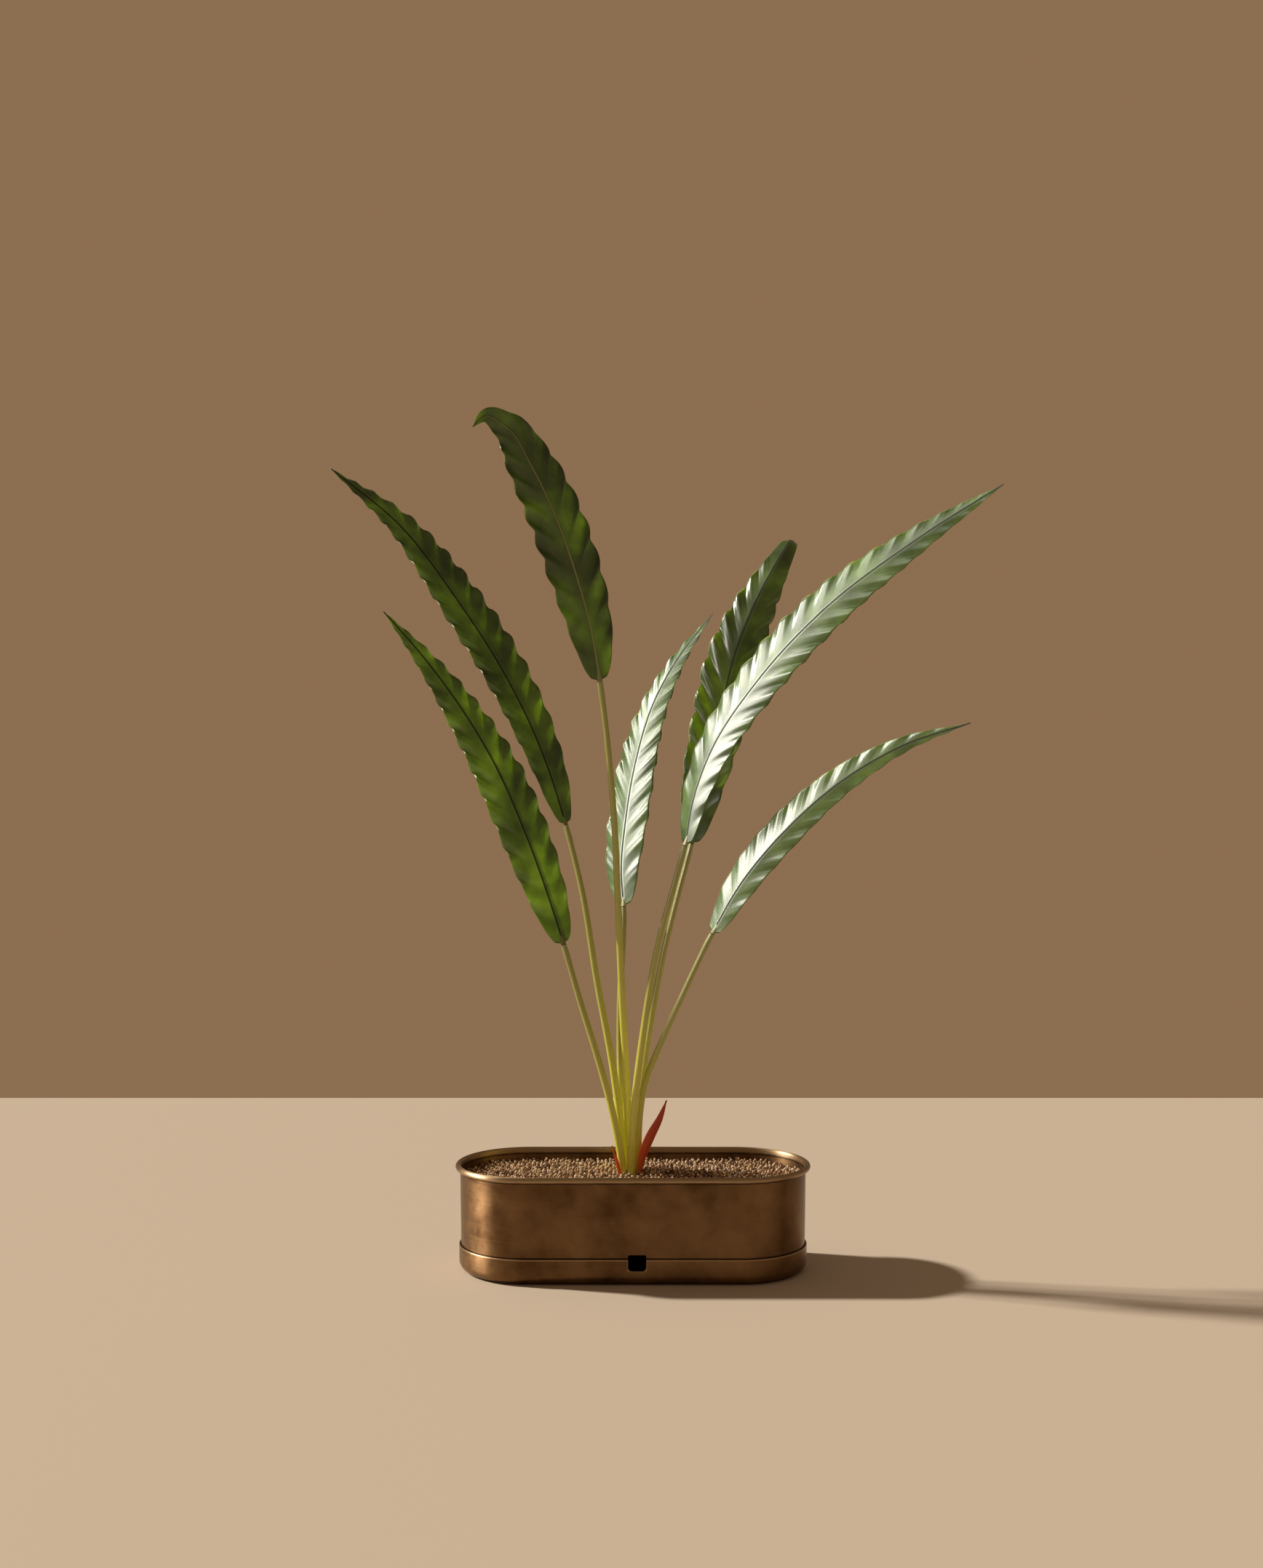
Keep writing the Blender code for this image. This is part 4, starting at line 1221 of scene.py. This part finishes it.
def leaf_material():
    """Satin green with veins and painted shade in the midrib's groove above, paler beneath, lit
    from behind.
    """
    material, tree, shader = new_material("leaf", Coat_Roughness=0.28, Specular_IOR_Level=0.45)
    vein, reach_out, share = kept_values(tree, "vein", "reach", "side")
    under, rib_mask, tone = kept_values(tree, "under", "rib", "tone")
    patches = clouds(object_place(tree), 26.0, 3.0, 0.55)
    lightness = patches * 0.7 + tone * 0.5
    wobble = clouds(vector(vein * 60, share * 2, tone * 9), 1.0, 2.0) * 2.2
    veins = sine(vein * (math.tau / VEIN_SPACING) + wobble) * 0.5 + 0.5
    # The paler line at the margin is partly the leaf's own edge colour and partly a painted
    # highlight where light grazes the rim.
    edge = between(abs(share), *EDGE_RANGE) * EDGE_SHOWS
    upper_side = 1 - under
    beside_rib = abs(reach_out - PALE_LINE_AT)
    pale_line = between(beside_rib, *PALE_LINE_RANGE, PALE_LINE_SHOWS, 0.0) * upper_side
    # Painted shade: a dark line in the groove along the midrib, on the upper side.
    groove_shade = between(reach_out, *GROOVE_SHADE_RANGE, GROOVE_SHADE_SHOWS, 0.0) * upper_side

    colour = blended(under, spread(lightness, UPPER_TONES), spread(lightness, UNDER_TONES))
    for mask, paint in ((veins**3 * VEINS_SHOW, VEIN_COLOUR), (edge, EDGE_COLOUR),
                        (pale_line, PALE_LINE_COLOUR), (groove_shade, GROOVE_SHADE_COLOUR),
                        (rib_mask * 0.9, RIB_COLOUR)):
        colour = blended(mask, colour, paint)
    # The underside and the edge are dry, rough and without coat, and so is the painted shade line.
    dullest = larger(larger(under * 0.6, groove_shade), edge)
    gloss = between(patches, *PATCH_RANGE, *GLOSS)
    feed_all(shader, {
        "Base Color": colour, "Roughness": gloss + larger(dullest * 0.25, groove_shade * 0.5),
        "Coat Weight": COAT - dullest * COAT,
    })
    bumped(shader, veins, VEIN_BUMP)

    # The glow grows with a leaf's tone up to middling tones and is weak in the palest leaves,
    # which turn their gloss to the light and not their back.
    thinness = smaller(tone, 0.9 - tone * 2) * 0.35
    glow = spread(patches * 0.9 + thinness + veins * 0.05, GLOW_TONES)
    # Less light glows through the painted shade line and the rib.
    opaque = larger(groove_shade, rib_mask) * 0.7
    glowing(shader, blended(opaque, glow, RIB_GLOW))
    return material


LEAF_FINISH = leaf_material()
print("leaf material:", len(LEAF_FINISH.node_tree.nodes), "nodes")

# %% Stem and sheath materials
STEM_TONES = [
    (0.00, 0.86, 0.80, 0.110), (0.22, 0.80, 0.76, 0.075), (0.55, 0.48, 0.47, 0.070),
    (1.00, 0.32, 0.31, 0.070)]
NECK_COLOUR = (0.34, 0.36, 0.12, 1.0)
STEM_DEEP = (0.28, 0.27, 0.030, 1.0)
STEM_SCATTER = (0.9, 1.0, 0.15)
NECK_RANGE = (0.1, 1.0)
NECK_SHOWS = 0.6
STEM_BUMP = 0.00006
RUST_TONES = [
    (0.00, 0.40, 0.105, 0.035), (0.35, 0.26, 0.048, 0.016), (1.00, 0.17, 0.030, 0.012)]
RUST_DEEP = (0.07, 0.012, 0.005, 1.0)
RUST_EDGE = (0.62, 0.27, 0.10, 1.0)
RUST_GLOW_FOOT = (0.62, 0.26, 0.10, 1.0)
RUST_GLOW_TIP = (0.50, 0.15, 0.05, 1.0)
RUST_EDGE_RANGE = (0.86, 0.98)
RUST_EDGE_SHOWS = 0.3
SHEATH_BUMP = 0.00015


def stem_material():
    """Yellow-green and a little waxy, with fine fibres along it and a greener neck."""
    material, tree, shader = new_material(
        "stem", Subsurface_Weight=0.35, Subsurface_Scale=0.0025, Subsurface_Radius=STEM_SCATTER,
        Coat_Weight=0.5, Coat_Roughness=0.2,
    )
    along_stem, near_neck = kept_values(tree, "along", "to_neck")
    neck = between(near_neck, *NECK_RANGE, NECK_SHOWS, 0.0)
    x, y, z = parts_of(object_place(tree))
    green = blended(neck, spread(along_stem, STEM_TONES), NECK_COLOUR)
    outputs = use_effect(tree, fibres, {
        "Along": z * 26, "Across": vector(x * 1300, y * 1300), "Colour": green,
        "Deep": STEM_DEEP, "Amount": 0.22})
    roughness = clouds(object_place(tree), 120.0) * 0.2 + 0.28
    feed_all(shader, {"Base Color": outputs["Colour"], "Roughness": roughness})
    bumped(shader, outputs["Height"], STEM_BUMP)
    return material


def sheath_material():
    """Dry and rust red, paler at the edge, with fibres that run up it."""
    material, tree, shader = new_material("sheath")
    share, up_sheath = kept_values(tree, "side", "row")
    outputs = use_effect(tree, fibres, {
        "Along": up_sheath * 3, "Across": vector(share * 9),
        "Colour": spread(up_sheath, RUST_TONES), "Deep": RUST_DEEP, "Amount": 0.55})
    pale_edge = between(abs(share), *RUST_EDGE_RANGE) * RUST_EDGE_SHOWS
    feed_all(shader, {
        "Base Color": blended(pale_edge, outputs["Colour"], RUST_EDGE),
        "Roughness": outputs["Height"] * 0.2 + 0.42,
    })
    bumped(shader, outputs["Height"], SHEATH_BUMP)
    glowing(shader, blended(up_sheath, RUST_GLOW_FOOT, RUST_GLOW_TIP))
    return material


STEM_FINISH, SHEATH_FINISH = stem_material(), sheath_material()
print("stem material:", len(STEM_FINISH.node_tree.nodes), "nodes")

# %% Leaves and their stems
MIDRIB_STEPS = 180
SEED_STEP = 2.7

for number, (name, leaf) in enumerate(LEAVES.items(), 1):
    line = LEAF_LINES[name]
    neck = line.distance_of(leaf["stem"][-1])
    start = neck + GAP
    length = line.length - start
    frames = []
    for share in np.linspace(0, 1, MIDRIB_STEPS):
        face = Vector(leaf["face"]).lerp(Vector(leaf["tip_face"]), share)
        frames.append(line.frame(start + share * length, face))
    points, across, out = zip(*frames)
    chain = edge_chain(f"midrib_{number}", points)
    keep_on(chain, "across", across, "FLOAT_VECTOR")
    keep_on(chain, "out", out, "FLOAT_VECTOR")
    gutter_start, gutter_end = (math.radians(angle) for angle in leaf["gutter_degrees"])
    values = {
        **leaf, "Length": float(length), "Gutter Start": gutter_start, "Gutter End": gutter_end,
        "Seed": number * SEED_STEP, "Rows": ROWS, "Columns": COLUMNS + 1, "Finish": LEAF_FINISH,
    }
    mesh = made_good(cook(f"blade_{number}", chain, blade, values))
    keep_on(mesh, "tone", [leaf["tone"]] * len(mesh.vertices))
    finished(f"blade_{number}", mesh, "leaf_green", f"{name}_blade")

    stem_points = [line.at(share * (neck + GAP / 2)) for share in np.linspace(0, 1, STEM_STEPS)]
    values = {"Length": float(neck), "Foot": STEM_RADIUS_FOOT, "Neck": STEM_RADIUS_NECK,
              "Finish": STEM_FINISH}
    stem_line = edge_chain(f"line_{number}", stem_points)
    mesh = made_good(cook(f"stem_{number}", stem_line, stalk, values))
    finished(f"stem_{number}", mesh, "stem_green", f"{name}_stem")

# %% [markdown]
# ## Sheaths
# Two short pointed scales clasp the foot of the stems. Each is a small cupped sheet that follows a
# line and narrows to a point, so a grid placed by a formula and a Solidify modifier are enough.

# %% Sheaths
SHEATH_THICKNESS = 0.0008
SHEATH_ROWS = 48
SHEATH_COLUMNS = 14
SHEATH_FOOT_TAPER = 1.3
SHEATH_SHARP_DEGREES = 60
SHEATHS = {
    "right": {
        "line": [(0.0048, -0.0015, 0.0860), (0.0098, -0.0025, 0.1120), (0.0186, -0.0040, 0.1344),
                 (0.0270, -0.0048, 0.1510), (0.0339, -0.0050, 0.1705)],
        "half_width": 0.0054, "widest_at": 0.48, "fullness": 1.9, "cup_degrees": 22.0,
        "face": (-0.35, 0.94, 0.0),
    },
    "left": {
        "line": [(-0.0124, -0.0112, 0.0860), (-0.0155, -0.0112, 0.1050),
                 (-0.0212, -0.0104, 0.1255)],
        "half_width": 0.0023, "widest_at": 0.4, "fullness": 1.6, "cup_degrees": 30.0,
        "face": (0.45, 0.80, 0.0),
    },
}


def sheath_width(sheath, row):
    """Half the scale's width: it opens from a narrow foot and closes to a point."""
    widest_at = sheath["widest_at"]
    if row < widest_at:
        return sheath["half_width"] * (1 - (1 - row / widest_at) ** 2) ** SHEATH_FOOT_TAPER
    return sheath["half_width"] * (1 - ((row - widest_at) / (1 - widest_at)) ** sheath["fullness"])


def sheath_point(sheath, line, row, side):
    point, across, out = line.frame(row * line.length, Vector(sheath["face"]))
    reach = abs(side) * max(sheath_width(sheath, row), TIP_HALF_WIDTH)
    cup = math.radians(sheath["cup_degrees"]) * abs(side)
    return (
        point
        + across * math.copysign(reach * math.cos(cup), side)
        + out * reach * math.sin(cup)
    )


def sheath_mesh(name, sheath):
    line = Line(sheath["line"])
    mesh = bpy.data.meshes.new(name)
    with editing(mesh) as bm:
        bmesh.ops.create_grid(bm, x_segments=SHEATH_ROWS, y_segments=SHEATH_COLUMNS, size=1.0)
        rows = [(vert.co.x + 1) / 2 for vert in bm.verts]
        sides = [vert.co.y for vert in bm.verts]
        for vert, row_share, side_share in zip(bm.verts, rows, sides):
            vert.co = sheath_point(sheath, line, row_share, side_share)
    keep_on(mesh, "row", rows)
    keep_on(mesh, "side", sides)
    obj = placed(name, mesh)
    wall = obj.modifiers.new("Wall", "SOLIDIFY")
    wall.thickness = SHEATH_THICKNESS
    wall.offset = 0.0
    return coated(made_good(evaluated_mesh(obj)), SHEATH_FINISH, SHEATH_SHARP_DEGREES)


for hand_name, sheath in SHEATHS.items():
    mesh = sheath_mesh(f"scale_{hand_name}", sheath)
    finished(f"scale_{hand_name}", mesh, "sheath_red", f"sheath_{hand_name}")

# %% [markdown]
# ## Floor and light
# The plant stands on a plain pale floor in front of a plain warm wall. The floor is one flat sheet
# that ends where the wall begins, and the wall is only the colour that the camera sees behind
# everything, so that it hides nothing from other sides. A far lamp from the left, a little behind,
# gives the soft-edged shadow and glows through the leaves. The soft panels stand at the left and
# the front left, and are what satin leaves, stems and brass mirror. Each lights only the pieces it
# names, so that the gloss of one can be set by itself. Only the last, leaf_fill, is seen by the
# leaves' own colour too, and brightens their shade.

# %% Floor
FLOOR_COLOUR = (0.62, 0.50, 0.38, 1.0)
FLOOR_HALF_WIDTH = 7.0
FLOOR_FRONT = -6.0
FLOOR_BACK = 0.9

paper = new_material("pale_floor", Roughness=0.9, Base_Color=FLOOR_COLOUR)[0]
floor_mesh = bpy.data.meshes.new("floor")
floor_mesh.from_pydata(
    [(x, y, 0.0) for y in (FLOOR_FRONT, FLOOR_BACK) for x in (-FLOOR_HALF_WIDTH, FLOOR_HALF_WIDTH)],
    [], [(0, 1, 3, 2)],
)
floor_mesh.materials.append(paper)
floor = placed("floor", floor_mesh)
print("floor depth:", FLOOR_BACK - FLOOR_FRONT, "m")

# %% Lights
AIM = Vector((0.0, 0.0, 0.4))
KEY_FROM = (-0.81, 0.20, 0.545)
KEY_DISTANCE = 3.0
KEY_STRENGTH = 4.3
KEY_SOFTNESS_DEGREES = 3.5
KEY_COLOUR = (1.0, 0.96, 0.88)
PANEL_DISTANCE = 2.4
PANEL_COLOUR = (1.0, 0.93, 0.87)
PANELS = {
    "wide_panel": {"from": (-0.66, -0.56, 0.46), "size": 1.7, "power": 215.0, "fills": False,
                   "mirrors": ("blade_4", "blade_5", "blade_7")},
    "small_panel": {"from": (-0.66, -0.56, 0.46), "size": 0.9, "power": 85.0, "fills": False,
                    "mirrors": ("blade_6", *(f"stem_{n}" for n in range(1, 8)))},
    "side_panel": {"from": (-0.98, -0.17, 0.10), "size": 0.8, "power": 45.0, "fills": False,
                   "mirrors": ("brass_pot", "brass_tray")},
    "leaf_fill": {"from": (-0.50, -0.70, 0.50), "size": 3.4, "power": 70.0, "fills": True,
                  "mirrors": ("blade_4", "blade_5", "blade_7")},
}
ROOM_COLOUR = (1.0, 0.72, 0.48, 1.0)
ROOM_STRENGTH = 0.2
WALL_COLOUR = (0.262, 0.155, 0.082, 1.0)


def aimed_lamp(lamp, direction, distance):
    """Places a lamp at a distance from the plant in a direction, and turns it to face it."""
    obj = placed(lamp.name, lamp)
    direction = Vector(direction).normalized()
    obj.location = AIM + direction * distance
    obj.rotation_euler = direction.to_track_quat("Z", "Y").to_euler()
    return obj


key = bpy.data.lights.new("key", "SUN")
key.energy = KEY_STRENGTH
key.angle = math.radians(KEY_SOFTNESS_DEGREES)
key.color = KEY_COLOUR
aimed_lamp(key, KEY_FROM, KEY_DISTANCE)

for name, values in PANELS.items():
    panel = bpy.data.lights.new(name, "AREA")
    panel.shape = "SQUARE"
    panel.size = values["size"]
    panel.energy = values["power"]
    panel.color = PANEL_COLOUR
    panel_object = aimed_lamp(panel, values["from"], PANEL_DISTANCE)
    panel_object.visible_diffuse = values["fills"]
    mirrored_by = bpy.data.collections.new(f"mirrors_{name}")
    for piece in values["mirrors"]:
        mirrored_by.objects.link(bpy.data.objects[piece])
    panel_object.light_linking.receiver_collection = mirrored_by

world = bpy.data.worlds.new("warm_room")
world.use_nodes = True
tree = world.node_tree
room = tree.nodes["Background"]
room.inputs["Color"].default_value = ROOM_COLOUR
room.inputs["Strength"].default_value = ROOM_STRENGTH
wall = result(tree, "ShaderNodeBackground", {"Color": WALL_COLOUR})
seen = result(tree, "ShaderNodeLightPath")
behind = result(tree, "ShaderNodeMixShader", {0: seen, 1: room.outputs[0], 2: wall})
feed(tree.nodes["World Output"].inputs["Surface"], behind)
scene.world = world
scene.view_settings.view_transform = "Standard"
print("panels:", len(PANELS))
